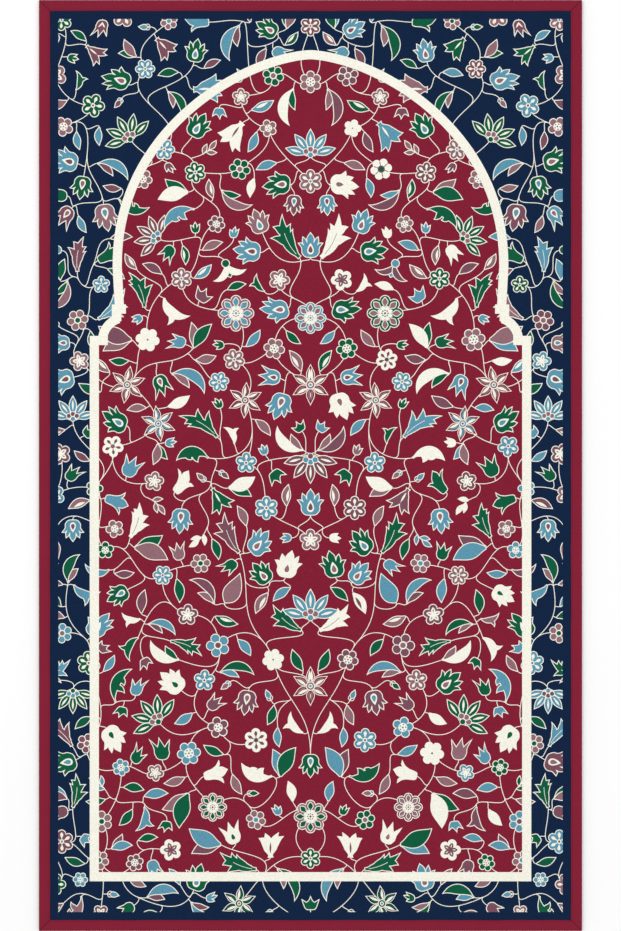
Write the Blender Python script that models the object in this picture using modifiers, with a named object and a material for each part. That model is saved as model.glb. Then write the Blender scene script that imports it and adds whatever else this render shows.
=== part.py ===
"""Prayer rug of 0.70 m by 1.20 m: one flat pile cloth, bound on its four edges with folded tape.

Metres, +Z up. The origin is on the floor under the middle of the rug, and +Y points to the head of its niche.
Run with blender --background --python part.py, or from the text editor.
"""

from math import cos, pi, radians, sin, sqrt

import bmesh
import bpy
from mathutils import Matrix, Vector

# Driving dimensions, in metres.
RUG_WIDTH = 0.700
RUG_LENGTH = 1.200
PILE_TOP = 0.0060  # from the floor to the tips of the pile
BINDING_TOP = 0.0052  # from the floor to the top of the folded tape
TAPE_FACE = 0.0145  # how far the tape reaches in from the edge, above and below
TAPE_THICKNESS = 0.0008
FITTING_GAP = 0.0003  # clearance between neighbouring pieces
FOLD_STEPS = 12  # straight steps round the fold of the tape
RIM_STEPS = 4  # steps round the edge of the sheared rim

# Worked out from the driving dimensions.
FOLD_RADIUS = (BINDING_TOP - TAPE_THICKNESS) / 2  # to the middle of the tape's thickness
LEAF_REACH = TAPE_FACE - BINDING_TOP / 2  # from the fold's centre to the tape's inner edges
RIM_BOTTOM = TAPE_THICKNESS + FITTING_GAP
RIM_TOP = BINDING_TOP - TAPE_THICKNESS - FITTING_GAP
RIM_INSET = TAPE_THICKNESS + FITTING_GAP  # from the rug's edge to the rim's edge
RIM_ROUNDING = 0.98 * (RIM_TOP - RIM_BOTTOM) / 2
BODY_INSET = TAPE_FACE + FITTING_GAP  # from the rug's edge to the full pile
CUTTER_SIZE = 4 * TAPE_FACE

# One length of tape for each edge: its name, the turn of its outward side from +X, the distance of that edge
# from the middle of the rug, and its length.
EDGES = (
    ("binding_right", radians(0), RUG_WIDTH / 2, RUG_LENGTH),
    ("binding_head", radians(90), RUG_LENGTH / 2, RUG_WIDTH),
    ("binding_left", radians(180), RUG_WIDTH / 2, RUG_LENGTH),
    ("binding_foot", radians(270), RUG_LENGTH / 2, RUG_WIDTH),
)

CRIMSON_PILE = (0.235, 0.016, 0.038, 1.0)
CRIMSON_TAPE = (0.215, 0.014, 0.034, 1.0)
PILE_ROUGHNESS = 0.95
TAPE_ROUGHNESS = 0.75


def clear_scene():
    """Remove every object that the scene starts with."""
    for old in list(bpy.data.objects):
        bpy.data.objects.remove(old, do_unlink=True)


def new_collection(name):
    """Add a collection to the scene."""
    collection = bpy.data.collections.new(name)
    bpy.context.scene.collection.children.link(collection)
    return collection


def fabric(name, colour, roughness):
    """Make a cloth material of one colour."""
    material = bpy.data.materials.new(name)
    material.use_nodes = True
    material.diffuse_color = colour
    shader = material.node_tree.nodes["Principled BSDF"]
    shader.inputs["Base Color"].default_value = colour
    shader.inputs["Roughness"].default_value = roughness
    shader.inputs["Metallic"].default_value = 0.0
    return material


def add_object(name, mesh, collection, material=None):
    """Add a mesh to a collection as an object, in its material if it has one."""
    made = bpy.data.objects.new(name, mesh)
    collection.objects.link(made)
    if material:
        mesh.materials.append(material)
    return made


def add_guide(name, mesh, guides):
    """Add a shape that only cuts or joins another."""
    guide = add_object(name, mesh, guides)
    guide.hide_render = True
    guide.display_type = "WIRE"
    return guide


def box_mesh(name, size, centre=(0.0, 0.0, 0.0)):
    """Make a box from its three sides and its centre."""
    mesh = bpy.data.meshes.new(name)
    box = bmesh.new()
    bmesh.ops.create_cube(box, size=1.0)
    bmesh.ops.scale(box, vec=size, verts=box.verts)
    bmesh.ops.translate(box, vec=centre, verts=box.verts)
    box.to_mesh(mesh)
    box.free()
    return mesh


def layer_mesh(name, inset, bottom, top):
    """Make a flat layer of the rug: its edges lie in from the rug's, and it fills one range of heights."""
    size = (RUG_WIDTH - 2 * inset, RUG_LENGTH - 2 * inset, top - bottom)
    return box_mesh(name, size, (0.0, 0.0, (top + bottom) / 2))


def combine(piece, other, operation):
    """Join another shape to a piece, or cut it out."""
    modifier = piece.modifiers.new(other.name, "BOOLEAN")
    modifier.operation = operation
    modifier.solver = "EXACT"
    modifier.object = other


def make_rug(collection, guides):
    """Make the cloth: full pile in the middle, and a thin sheared rim with a round edge that fits in the fold."""
    rim = add_guide("rim_shape", layer_mesh("rim_shape", RIM_INSET, RIM_BOTTOM, RIM_TOP), guides)
    rounding = rim.modifiers.new("round edge", "BEVEL")
    rounding.width = RIM_ROUNDING
    rounding.segments = RIM_STEPS
    pile = fabric("pile", CRIMSON_PILE, PILE_ROUGHNESS)
    rug = add_object("rug", layer_mesh("rug", BODY_INSET, 0.0, PILE_TOP), collection, pile)
    combine(rug, rim, "UNION")


def fold_section():
    """The middle of the tape's thickness: in over the rug, round the fold and in under it, as (outward, up)."""
    angles = [pi / 2 - pi * step / FOLD_STEPS for step in range(FOLD_STEPS + 1)]
    fold = [(FOLD_RADIUS * cos(angle), FOLD_RADIUS * sin(angle)) for angle in angles]
    return [(-LEAF_REACH, FOLD_RADIUS), *fold, (-LEAF_REACH, -FOLD_RADIUS)]


def folded_tape_mesh(name, length):
    """Carry the fold's section along one edge. The outermost line of the tape is at x = 0, on the floor at z = 0."""
    mesh = bpy.data.meshes.new(name)
    tape = bmesh.new()
    start = [
        tape.verts.new((out - BINDING_TOP / 2, -length / 2, up + BINDING_TOP / 2))
        for out, up in fold_section()
    ]
    section = [tape.edges.new(pair) for pair in zip(start, start[1:])]
    carried = bmesh.ops.extrude_edge_only(tape, edges=section)["geom"]
    ends = [part for part in carried if isinstance(part, bmesh.types.BMVert)]
    bmesh.ops.translate(tape, vec=(0.0, length, 0.0), verts=ends)
    bmesh.ops.recalc_face_normals(tape, faces=tape.faces)
    tape.to_mesh(mesh)
    tape.free()
    return mesh


def mitre_cutter(name, length, end, placement, guides):
    """Make the block that trims one end of a tape along the corner's diagonal; end is 1 or -1 along the length."""
    corner = Vector((0.0, end * length / 2, 0.0))
    away = Vector((-1.0, end, 0.0)) / sqrt(2)
    centre = corner + away * (CUTTER_SIZE - FITTING_GAP) / 2
    cutter = add_guide(name, box_mesh(name, (CUTTER_SIZE,) * 3), guides)
    cutter.matrix_world = placement @ Matrix.Translation(centre) @ Matrix.Rotation(pi / 4, 4, "Z")
    return cutter


def make_binding(edge, material, collection, guides):
    """Make the tape of one edge: folded over it, and cut at 45 degrees where it meets its neighbours."""
    name, turn, distance, length = edge
    placement = Matrix.Rotation(turn, 4, "Z") @ Matrix.Translation((distance, 0.0, 0.0))
    tape = add_object(name, folded_tape_mesh(name, length), collection, material)
    tape.matrix_world = placement
    thickness = tape.modifiers.new("tape thickness", "SOLIDIFY")
    thickness.thickness = TAPE_THICKNESS
    thickness.offset = 0.0
    thickness.use_even_offset = True
    combine(tape, mitre_cutter(f"{name}_mitre_a", length, 1, placement, guides), "DIFFERENCE")
    combine(tape, mitre_cutter(f"{name}_mitre_b", length, -1, placement, guides), "DIFFERENCE")


def main():
    """Build the rug and its four lengths of binding."""
    clear_scene()
    collection = new_collection("prayer_rug")
    guides = new_collection("guides")
    make_rug(collection, guides)
    tape = fabric("binding_tape", CRIMSON_TAPE, TAPE_ROUGHNESS)
    for edge in EDGES:
        make_binding(edge, tape, collection, guides)


main()
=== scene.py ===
"""Prayer rug: dyed pile with a niche, vines and flowers, a woven back, bound edges and their sewing.

The pattern is worked out in millimetres on the rug's left half, as outlines in painter's order. They are
cut into one plane of triangles, which is mirrored and parted by yarn. Every other surface is a profile
carried along a path, or a height over a grid, in metres.
"""

import logging
from abc import ABC, abstractmethod
from collections.abc import Iterable
from dataclasses import dataclass, field
from enum import Enum
from itertools import product
from math import pi, radians
from operator import itemgetter

import bpy
import numpy as np
from mathutils.geometry import delaunay_2d_cdt
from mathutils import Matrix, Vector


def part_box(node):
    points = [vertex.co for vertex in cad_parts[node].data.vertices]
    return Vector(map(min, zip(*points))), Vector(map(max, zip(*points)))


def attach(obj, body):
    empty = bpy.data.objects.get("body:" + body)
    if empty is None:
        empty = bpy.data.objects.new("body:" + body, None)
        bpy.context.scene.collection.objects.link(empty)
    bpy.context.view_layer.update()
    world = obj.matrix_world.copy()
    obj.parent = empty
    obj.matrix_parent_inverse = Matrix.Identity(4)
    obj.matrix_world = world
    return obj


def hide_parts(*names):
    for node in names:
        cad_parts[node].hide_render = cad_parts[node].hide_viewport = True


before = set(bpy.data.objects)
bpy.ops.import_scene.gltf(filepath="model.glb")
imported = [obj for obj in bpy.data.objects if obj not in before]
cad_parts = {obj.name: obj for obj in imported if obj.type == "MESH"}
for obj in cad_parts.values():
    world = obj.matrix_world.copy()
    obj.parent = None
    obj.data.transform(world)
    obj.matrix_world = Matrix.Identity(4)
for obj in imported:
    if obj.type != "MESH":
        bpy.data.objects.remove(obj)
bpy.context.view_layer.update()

Points = np.ndarray  # a point or an arrow in each row
Place = tuple[float, float] | Points
Colour = tuple[float, float, float]
Socket = bpy.types.NodeSocket
log = logging.getLogger("prayer_rug")

MM = 0.001
TINY = 1e-9
LINE = 1.05  # width of the cream outline that every flower and leaf has, mm
STEM = 0.95  # width of a vine, mm
TIP_REACH = 2.6  # how many line widths a sharp tip may run on
HOLLOW_REACH = 1.1  # the same for a sharp hollow
FULLNESS = 1.12  # size of a round petal's circle against half the distance to its neighbour


# ---- Outlines, in millimetres ----


class Yarn(Enum):
    """The seven dyed yarns of the pile, with their colours."""

    CRIMSON = (0.233, 0.014, 0.036)
    NAVY = (0.0055, 0.0185, 0.0565)
    CREAM = (0.95, 0.937, 0.822)
    GREEN = (0.005, 0.11, 0.051)
    BLUE = (0.114, 0.322, 0.44)
    MAUVE = (0.296, 0.15, 0.181)
    PLUM = (0.205, 0.08, 0.114)


class Role(Enum):
    """What a patch of colour is in its flower."""

    EDGE = "edge"
    MAIN = "main"
    MARK = "mark"
    SECOND = "second"
    GROUND = "ground"


@dataclass(frozen=True)
class Patch:
    """One closed outline and the part that its colour plays."""

    outline: Points
    role: Role

    def placed(self, degrees: float, root: Place = (0.0, 0.0)) -> "Patch":
        """Return the patch turned clockwise about the origin, with the origin then moved to root."""
        return Patch(turned(self.outline, degrees, root), self.role)


def unit(arrows: Points) -> Points:
    """Scale each row to length 1."""
    return arrows / np.maximum(np.linalg.norm(arrows, axis=1, keepdims=True), TINY)


def beside(arrows: Points) -> Points:
    """Turn each row a quarter to the left."""
    return np.stack([-arrows[:, 1], arrows[:, 0]], 1)


def ccw(outline: Points) -> Points:
    """Return a closed outline so that it runs counter-clockwise, by the sign of its area."""
    x, y = outline.T
    return outline if np.sum(x * np.roll(y, -1) - y * np.roll(x, -1)) > 0 else outline[::-1]


def grown(outline: Points, distance: float) -> Points:
    """Move a counter-clockwise outline outwards along the mean of its edges' normals.

    Args:
        outline: Corners of the outline.
        distance: How far each edge moves; less than 0 moves it inwards.

    Returns:
        The moved corners, with a limit to how far a sharp one goes.
    """
    along = unit(np.roll(outline, -1, 0) - outline)
    before = np.roll(along, 1, 0)
    mean = -beside(along + before)
    size = np.maximum(np.linalg.norm(mean, axis=1, keepdims=True), TINY)
    hollow = (before[:, 0] * along[:, 1] - before[:, 1] * along[:, 0])[:, None] < 0
    limit = np.where(hollow & (distance > 0), HOLLOW_REACH, TIP_REACH)
    return outline + mean / size * np.minimum(2.0 / size, limit) * distance


def softened(outline: Points, longest: float = 1.5, sharp: float = 0.6) -> Points:
    """Put a point into every long edge of a closed outline, on a smooth curve through its neighbours.

    With the neighbours in the order a, b, c, d it lies at ``(9 (b + c) - a - d) / 16``, or past a sharp b
    at ``(3 b + 6 c - d) / 8``.

    Args:
        outline: Corners of the outline.
        longest: Edges up to this length stay as they are.
        sharp: Cosine of a corner's turn, below which it is sharp.

    Returns:
        The outline with the new points.
    """
    before, after, beyond = np.roll(outline, 1, 0), np.roll(outline, -1, 0), np.roll(outline, -2, 0)
    length = np.linalg.norm(after - outline, axis=1)
    along = unit(after - outline)
    turn = (along * np.roll(along, 1, 0)).sum(1)
    first, last = (turn < sharp)[:, None], (np.roll(turn, -1) < sharp)[:, None]
    smooth = (9 * (outline + after) - before - beyond) / 16
    leaving, arriving = (3 * outline + 6 * after - beyond) / 8, (3 * after + 6 * outline - before) / 8
    straight = (outline + after) / 2
    one_sided = np.where(first, leaving, np.where(last, arriving, smooth))
    both = np.stack([outline, np.where(first & last, straight, one_sided)], 1).reshape(-1, 2)
    return both[np.stack([length > 0, length > longest], 1).ravel()]


def leaning(outline: Points, lean: float, length: float) -> Points:
    """Bend an outline sideways, by more the further it is from its root."""
    return outline + np.stack([lean * outline[:, 1] ** 2 / length, np.zeros(len(outline))], 1)


def turned(outline: Points, degrees: float, root: Place = (0.0, 0.0)) -> Points:
    """Turn an outline clockwise about the origin, then move the origin to root."""
    cosine, sine = np.cos(np.radians(degrees)), np.sin(np.radians(degrees))
    return outline @ np.array([[cosine, -sine], [sine, cosine]]) + root


def disc(radius: float, centre: Place = (0.0, 0.0), steps: int = 12) -> Points:
    """Return a circle."""
    angle = np.linspace(0, 2 * pi, steps, endpoint=False)
    return np.stack([radius * np.cos(angle), radius * np.sin(angle)], 1) + centre


def drop(radius: float, centre: Place, tall: float, steps: int) -> Points:
    """Return a drop, point up: ``x = 1.2 r sin(a) sin(a / 2), y = r tall cos(a)`` for the angle a."""
    angle = np.linspace(0, 2 * pi, steps, endpoint=False)
    return np.stack([-np.sin(angle) * np.sin(angle / 2) * 1.2, tall * np.cos(angle)], 1) * radius + centre


def petal_reach(radius: float, petals: int) -> float:
    """Return the distance from a scalloped flower's middle to the middle of a petal's circle."""
    return radius / (1 + FULLNESS * np.sin(pi / petals))


def scallop(radius: float, petals: int, steps: int = 6) -> Points:
    """Return the outline of equal round petals.

    Each petal is the outer arc of its own circle, at the distance
    ``cos(a) reach + sqrt(petal^2 - (sin(a) reach)^2)`` from the middle, a being the angle off its axis.

    Args:
        radius: From the middle to the tips of the petals.
        petals: How many there are.
        steps: Straight steps along a petal.

    Returns:
        The outline, with the first petal pointing along +Y.
    """
    half, reach = pi / petals, petal_reach(radius, petals)
    offset = np.linspace(-half, half, steps + 1)[:-1]
    ray = reach * np.cos(offset) + np.sqrt((radius - reach) ** 2 - (reach * np.sin(offset)) ** 2)
    angle = (np.arange(petals)[:, None] * 2 * half + offset).ravel()
    return ccw(np.stack([np.sin(angle), np.cos(angle)], 1) * np.tile(ray, petals)[:, None])


def spine(length: float, bend: float, steps: int, start: float = 0.0) -> tuple[Points, np.ndarray]:
    """Return a line of constant curvature from the origin.

    Args:
        length: Length of the line.
        bend: How far its heading turns on the way, in radians, clockwise.
        steps: Number of points.
        start: Its first heading, in radians clockwise from +Y.

    Returns:
        The points and the heading at each.
    """
    heading = start + bend * np.linspace(0, 1, steps)
    middle = (heading[1:] + heading[:-1]) / 2
    step = length / (steps - 1)
    x = np.concatenate([[0.0], np.cumsum(np.sin(middle)) * step])
    y = np.concatenate([[0.0], np.cumsum(np.cos(middle)) * step])
    return np.stack([x, y], 1), heading


def blade(
    length: float,
    width: float,
    bend: float = 0.0,
    start: float = 0.0,
    base: float = 0.15,
    fat: float = 0.45,
    steps: int = 9,
    root: Place = (0.0, 0.0),
    thin: float = 1.0,
) -> Points:
    """Return a leaf or petal: its width follows ``sin(pi t^k)^thin`` along a curved spine.

    Args:
        length: Length of the spine.
        width: Greatest width.
        bend: Turn of the spine, in radians.
        start: First heading of the spine, in radians clockwise from +Y.
        base: Width at the root against the greatest.
        fat: Where along the spine the blade is widest, from 0 to 1.
        steps: Points along the spine.
        root: Where the spine starts.
        thin: Above 1 draws the tips out.

    Returns:
        The closed outline.
    """
    line, heading = spine(length, bend, steps, start)
    t = np.linspace(0, 1, steps)
    swell = np.sin(pi * t ** (np.log(0.5) / np.log(fat))) ** thin
    half = width / 2 * np.maximum(swell, base * (1 - t) ** 2)
    side = np.stack([np.cos(heading), -np.sin(heading)], 1) * half[:, None]
    return ccw(np.concatenate([line + side, (line - side)[-2::-1]])) + root


def crown(half_outline: tuple[tuple[float, float], ...], corners: tuple[int, ...], steps: int = 3) -> Points:
    """Return a flower's outline from its right half, as cubic curves through the points.

    Args:
        half_outline: Points from the base on the axis to the tip on the axis.
        corners: Which of the points are sharp; the curve is smooth through the others.
        steps: Straight steps between two points.

    Returns:
        The closed outline, with the left half mirrored from the right.
    """
    half = np.array(half_outline, float)
    sharp = np.zeros(len(half), bool)
    sharp[[0, -1, *corners]] = True
    ahead = np.diff(half, axis=0)
    tangent = np.zeros_like(half)
    tangent[1:-1] = (half[2:] - half[:-2]) / 2
    leave = np.where(sharp[:-1, None], ahead, tangent[:-1])
    arrive = np.where(sharp[1:, None], ahead, tangent[1:])
    leave[0] = (ahead[0, 0] * 1.4, 0.0)
    t = np.linspace(0, 1, steps, endpoint=False)[None, :, None]
    curves = (2 * t**3 - 3 * t**2 + 1) * half[:-1, None] + (t**3 - 2 * t**2 + t) * leave[:, None]
    curves = curves + (3 * t**2 - 2 * t**3) * half[1:, None] + (t**3 - t**2) * arrive[:, None]
    right = np.concatenate([curves.reshape(-1, 2), half[-1:]])
    return ccw(np.concatenate([right, right[-2:0:-1] * (-1, 1)]))


def stroke(path: Points, width: float) -> Points:
    """Return the outline of a line of even width along a path."""
    side = beside(unit(np.gradient(path, axis=0))) * width / 2
    return ccw(np.concatenate([path + side, (path - side)[::-1]]))


def lattice(across: np.ndarray, along: np.ndarray) -> Points:
    """Return the points where lines at some x and at some y cross, in rows of equal y."""
    return np.stack(np.meshgrid(across, along), -1).reshape(-1, 2)


def rectangle(left: float, right: float, low: float, high: float) -> Points:
    """Return the outline of a rectangle with its sides along the axes."""
    return np.array([(left, low), (right, low), (right, high), (left, high)])


def winding(outline: Points, points: Points) -> np.ndarray:
    """Count how many times a closed outline turns round each of some points.

    An edge past a point's inner side counts 1 if it crosses the point's level upwards, and -1 downwards.

    Args:
        outline: Corners of the outline.
        points: The points.

    Returns:
        A whole number for each point, above 0 inside a counter-clockwise outline.
    """
    ends = np.roll(outline, -1, 0)
    x, y = points[:, 0][:, None], points[:, 1][:, None]
    up = (outline[:, 1] <= y) & (ends[:, 1] > y)
    down = (outline[:, 1] > y) & (ends[:, 1] <= y)
    run, rise = (ends - outline).T
    side = run * (y - outline[:, 1]) - (x - outline[:, 0]) * rise
    return (up & (side > 0)).sum(1) - (down & (side < 0)).sum(1)


def figure(outlines: list[Points], role: Role = Role.MAIN, line: float = LINE) -> list[Patch]:
    """Fill outlines that may overlap as one shape, with one cream line round it."""
    edges = [Patch(grown(outline, line / 2), Role.EDGE) for outline in outlines]
    return edges + [Patch(grown(outline, -line / 2), role) for outline in outlines]


def spot(radius: float, role: Role, steps: int) -> list[Patch]:
    """Return a round spot of one colour at the origin."""
    return [Patch(disc(radius, steps=steps), role)]


def ring(outline: Points, count: int, role: Role, offset: float = 0.0) -> list[Patch]:
    """Repeat an outline round the origin in equal steps, the first turned by offset steps."""
    return [Patch(turned(outline, (k + offset) * (360.0 / count)), role) for k in range(count)]


# ---- Flowers and leaves ----


class Motif(ABC):
    """A flower or leaf, drawn round the origin or from the origin along +Y."""

    @abstractmethod
    def patches(self) -> list[Patch]:
        """Return its patches, lowest first."""


class Heart(Enum):
    """What the middle of a rosette looks like."""

    SLITS = "slits"
    BEADS = "beads"
    SPOKES = "spokes"
    STAR = "star"


@dataclass(frozen=True)
class Rosette(Motif):
    """A round flower seen from above."""

    radius: float = 13.5
    petals: int = 6
    heart: Heart = Heart.SLITS
    turn: float = 0.0

    def patches(self) -> list[Patch]:
        """Draw the petals, and the heart over them.

        Returns:
            The patches, lowest first.
        """
        r, count, reach = self.radius, self.petals, petal_reach(self.radius, self.petals)
        petals = figure([scallop(r, count)])
        match self.heart:
            case Heart.SLITS:
                slit = blade(r * 0.56, r * 0.27, fat=0.6, base=0.3, steps=6, root=(0, r * 0.24))
                made = petals + ring(slit, count, Role.MARK)
                made += spot(r * 0.2, Role.MARK, 9) + spot(r * 0.11, Role.SECOND, 7)
            case Heart.BEADS:
                bead = disc((r - reach) * 0.93 - LINE * 0.3, (0, reach), 11)
                dot = disc(r * 0.085, (0, r * 0.28), 5)
                made = petals[:1] + ring(bead, count, Role.MAIN) + spot(r * 0.43, Role.EDGE, 14)
                made += ring(dot, count, Role.MAIN) + spot(r * 0.09, Role.SECOND, 6)
            case Heart.SPOKES:
                notch = reach * (np.cos(pi / count) + 0.504 * np.sin(pi / count))
                spoke = ccw(np.array([(-0.4, r * 0.2), (0.4, r * 0.2), (0.6, notch), (-0.6, notch)]))
                made = petals + ring(spoke, count, Role.MARK, 0.5)
                made += spot(r * 0.35, Role.MARK, 13) + spot(r * 0.24, Role.SECOND, 11)
            case Heart.STAR:
                star = blade(r * 0.72, r * 0.42, fat=0.52, base=0.5, steps=7)
                slit = blade(r * 0.34, r * 0.1, fat=0.6, steps=5, root=(0, r * 0.2))
                made = petals + ring(star, count, Role.MARK) + ring(slit, count, Role.MAIN)
        return [patch.placed(self.turn) for patch in made]


@dataclass(frozen=True)
class DoubleRosette(Motif):
    """A large round flower with two rings of petals."""

    radius: float = 22.0
    petals: int = 8

    def patches(self) -> list[Patch]:
        """Draw the outer petals, each with a ring of its own colour, then the inner ones and a dotted disc.

        Returns:
            The patches, lowest first.
        """
        r, count = self.radius, self.petals
        outer = blade(r * 0.52, r * 0.34, fat=0.5, base=0.3, steps=7, root=(0, r * 0.38))
        inner = blade(r * 0.4, r * 0.25, fat=0.5, base=0.5, steps=6, root=(0, r * 0.06))
        made = figure([scallop(r, count)])
        for k in range(count):
            made += figure([turned(outer, k * (360.0 / count))], Role.SECOND, LINE * 0.9)
        made += ring(inner, count, Role.EDGE, 0.5) + spot(r * 0.27, Role.EDGE, 16)
        made += ring(disc(r * 0.045, (0, r * 0.17), 6), count, Role.MAIN)
        return made + spot(r * 0.07, Role.SECOND, 7)


@dataclass(frozen=True)
class StarFlower(Motif):
    """A flower of long pointed petals, each split by a vein, about a ring."""

    radius: float = 26.0
    petals: int = 6
    turn: float = 0.0

    def patches(self) -> list[Patch]:
        """Draw each petal in the ground's colour with two coloured halves, then the ring.

        Returns:
            The patches, lowest first.
        """
        r = self.radius
        petal = blade(r * 0.86, r * 0.42, fat=0.38, base=0.2, steps=9, root=(0, r * 0.18), thin=1.1)
        root = (-r * 0.075, r * 0.26)
        half = blade(r * 0.6, r * 0.15, -0.12, 0.1, fat=0.4, base=0.4, steps=7, root=root, thin=1.1)
        made: list[Patch] = []
        for angle in self.turn + np.arange(self.petals) * 360.0 / self.petals:
            made += figure([turned(petal, angle)], Role.GROUND, LINE * 0.8)
            made += [Patch(turned(ccw(half * (-1, 1)), angle), Role.MAIN)]
            made += [Patch(turned(half, angle), Role.MARK)]
        made += spot(r * 0.25, Role.EDGE, 14) + spot(r * 0.2, Role.MAIN, 12)
        return made + spot(r * 0.12, Role.EDGE, 10) + spot(r * 0.07, Role.SECOND, 8)


class Form(Enum):
    """Kinds of flower seen from their side: the right half of the outline, and which points are sharp."""

    TULIP = (
        (
            (0, 0), (4.4, 1.2), (6.8, 5.6), (6.9, 10.5), (9.4, 18.6), (5.2, 14.0), (3.4, 11.8), (1.6, 15.6),
            (0, 20.0),
        ),
        (4, 6),
    )
    PALMETTE = (
        (
            (0, 0), (6.2, 0.8), (10.0, 5.4), (10.4, 11.0), (14.4, 16.6), (10.6, 16.8), (8.2, 14.8),
            (9.6, 18.6), (9.0, 24.0), (5.8, 21.4), (4.0, 17.6), (4.0, 23.0), (0, 29.0),
        ),
        (4, 6, 8, 10),
    )
    BELL = (
        (
            (0, 0), (3.6, 0.6), (5.0, 4.6), (5.8, 10.0), (8.2, 15.6), (12.8, 20.0), (8.6, 19.8),
            (5.6, 17.6), (4.8, 22.0), (0, 27.5),
        ),
        (5, 7),
    )
    CUP = (((0, 0), (5.0, 0.6), (7.4, 4.5), (9.8, 11.6), (4.6, 8.4), (2.0, 10.6), (0, 15.0)), (3, 4))
    BUD = (
        ((0, 0), (4.0, 1.2), (6.2, 5.6), (6.9, 12.6), (4.0, 11.0), (2.3, 8.6), (2.4, 12.2), (0, 16.4)),
        (3, 5),
    )


@dataclass(frozen=True)
class Bloom(Motif):
    """A flower seen from its side, with an eye or two slits if it has them."""

    form: Form = Form.TULIP
    length: float = 20.0
    eye: bool = False
    slit: bool = False
    lean: float = 0.0

    def patches(self) -> list[Patch]:
        """Draw the flower's outline at its length, the eye or the slits, and lean all of it.

        Returns:
            The patches, lowest first.
        """
        outline = crown(*self.form.value)
        made = figure([outline * self.length / outline[:, 1].max()])
        s = self.length / 24.0
        if self.eye:
            made += [Patch(drop(3.5 * s, (0, 8.4 * s), 1.6, 14), Role.EDGE)]
            made += [Patch(drop(2.2 * s, (0, 7.8 * s), 1.5, 11), Role.SECOND)]
        if self.slit:
            left = blade(9 * s, 2.2 * s, -0.5, -0.35, steps=6, root=(0, 3.2 * s))
            made += [Patch(left, Role.MARK), Patch(ccw(left * (-1, 1)), Role.MARK)]
        return [Patch(leaning(patch.outline, self.lean, self.length), patch.role) for patch in made]


@dataclass(frozen=True)
class Lily(Motif):
    """A flower of long petals that curl outwards from a narrow throat."""

    length: float = 30.0
    full: float = 1.0
    lean: float = 0.0

    def patches(self) -> list[Patch]:
        """Draw a short middle petal, two petals on each side, and a slit.

        Returns:
            The patches, lowest first.
        """
        size, full = self.length, self.full
        parts = [blade(size * 0.62, size * 0.4 * full, fat=0.6, base=0.4, steps=8)]
        long, outer, inner = size * 0.95, size * 0.28 * full, size * 0.24 * full
        for side in (-1, 1):
            parts.append(blade(long, outer, side * 1.35, -side * 0.12, 0.15, 0.5, 11, thin=1.1))
            parts.append(blade(long, inner, side * 0.5, side * 0.02, 0.15, 0.55, 9))
        slit = blade(size * 0.42, size * 0.07, steps=6, root=(0, size * 0.16))
        made = [*figure(parts), Patch(slit, Role.MARK)]
        return [Patch(leaning(patch.outline, self.lean, size), patch.role) for patch in made]


@dataclass(frozen=True)
class Leaf(Motif):
    """A leaf with two points, with a stripe or a second leaf behind it if it has them."""

    length: float = 22.0
    width: float = 9.0
    bend: float = 0.4
    stripe: bool = False
    twin: bool = False
    fat: float = 0.47

    def patches(self) -> list[Patch]:
        """Draw the second leaf, the leaf and its stripe.

        Returns:
            The patches, lowest first.
        """
        size, width, bend = self.length, self.width, self.bend
        made: list[Patch] = []
        if self.twin:
            start = -0.55 if bend > 0 else 0.55
            made += figure([blade(size * 0.86, width * 0.86, -bend, start, base=0.2)], Role.SECOND)
        made += figure([blade(size, width, bend, -bend * 0.6, base=0.15, fat=self.fat)])
        if self.stripe:
            inner = blade(size * 0.56, width * 0.32, bend * 0.6, -bend * 0.3, root=(0, size * 0.2), steps=6)
            made += [Patch(inner, Role.MARK)]
        return made


@dataclass(frozen=True)
class Sickle(Motif):
    """A long curled leaf, with a shorter one in its hollow or with a barb."""

    length: float = 54.0
    width: float = 11.5
    bend: float = 1.9
    barb: bool = False

    def patches(self) -> list[Patch]:
        """Draw the short leaf and the long one, or the long one with two hooks on its inner side.

        Returns:
            The patches, lowest first.
        """
        size, width, bend, side = self.length, self.width, self.bend, np.sign(self.bend)
        start = -bend * 0.35
        parts = [blade(size, width, bend, start, 0.15, 0.52, 15, thin=1.15)]
        if not self.barb:
            small = blade(size * 0.52, width * 0.74, bend * 0.5, start + side * 0.62, 0.2, 0.5, 9)
            return figure([small], Role.SECOND) + figure(parts)
        line, heading = spine(size, bend, 21, start)
        for at, reach in ((7, 0.3), (12, 0.24)):
            turn = heading[at] + side * 1.2
            parts.append(blade(size * reach, width * 0.62, side * 1.3, turn, 0.9, 0.4, 8, line[at], 1.1))
        return figure(parts)


@dataclass(frozen=True)
class Curl(Motif):
    """Half a flower: a bent body with a pointed tip, and a side petal that curls outwards."""

    length: float = 30.0
    bend: float = 0.9

    def patches(self) -> list[Patch]:
        """Draw the body and the side petal as one shape.

        Returns:
            The patches, lowest first.
        """
        size, bend, side = self.length, self.bend, np.sign(self.bend)
        body = blade(size, size * 0.27, -bend * 2.0, bend, 0.15, 0.45, 12, thin=1.15)
        root = (side * size * 0.13, size * 0.24)
        petal = blade(size * 0.56, size * 0.19, side * 1.7, side * 0.15, 0.5, 0.45, 10, root, 1.1)
        return figure([body, petal])


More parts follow.
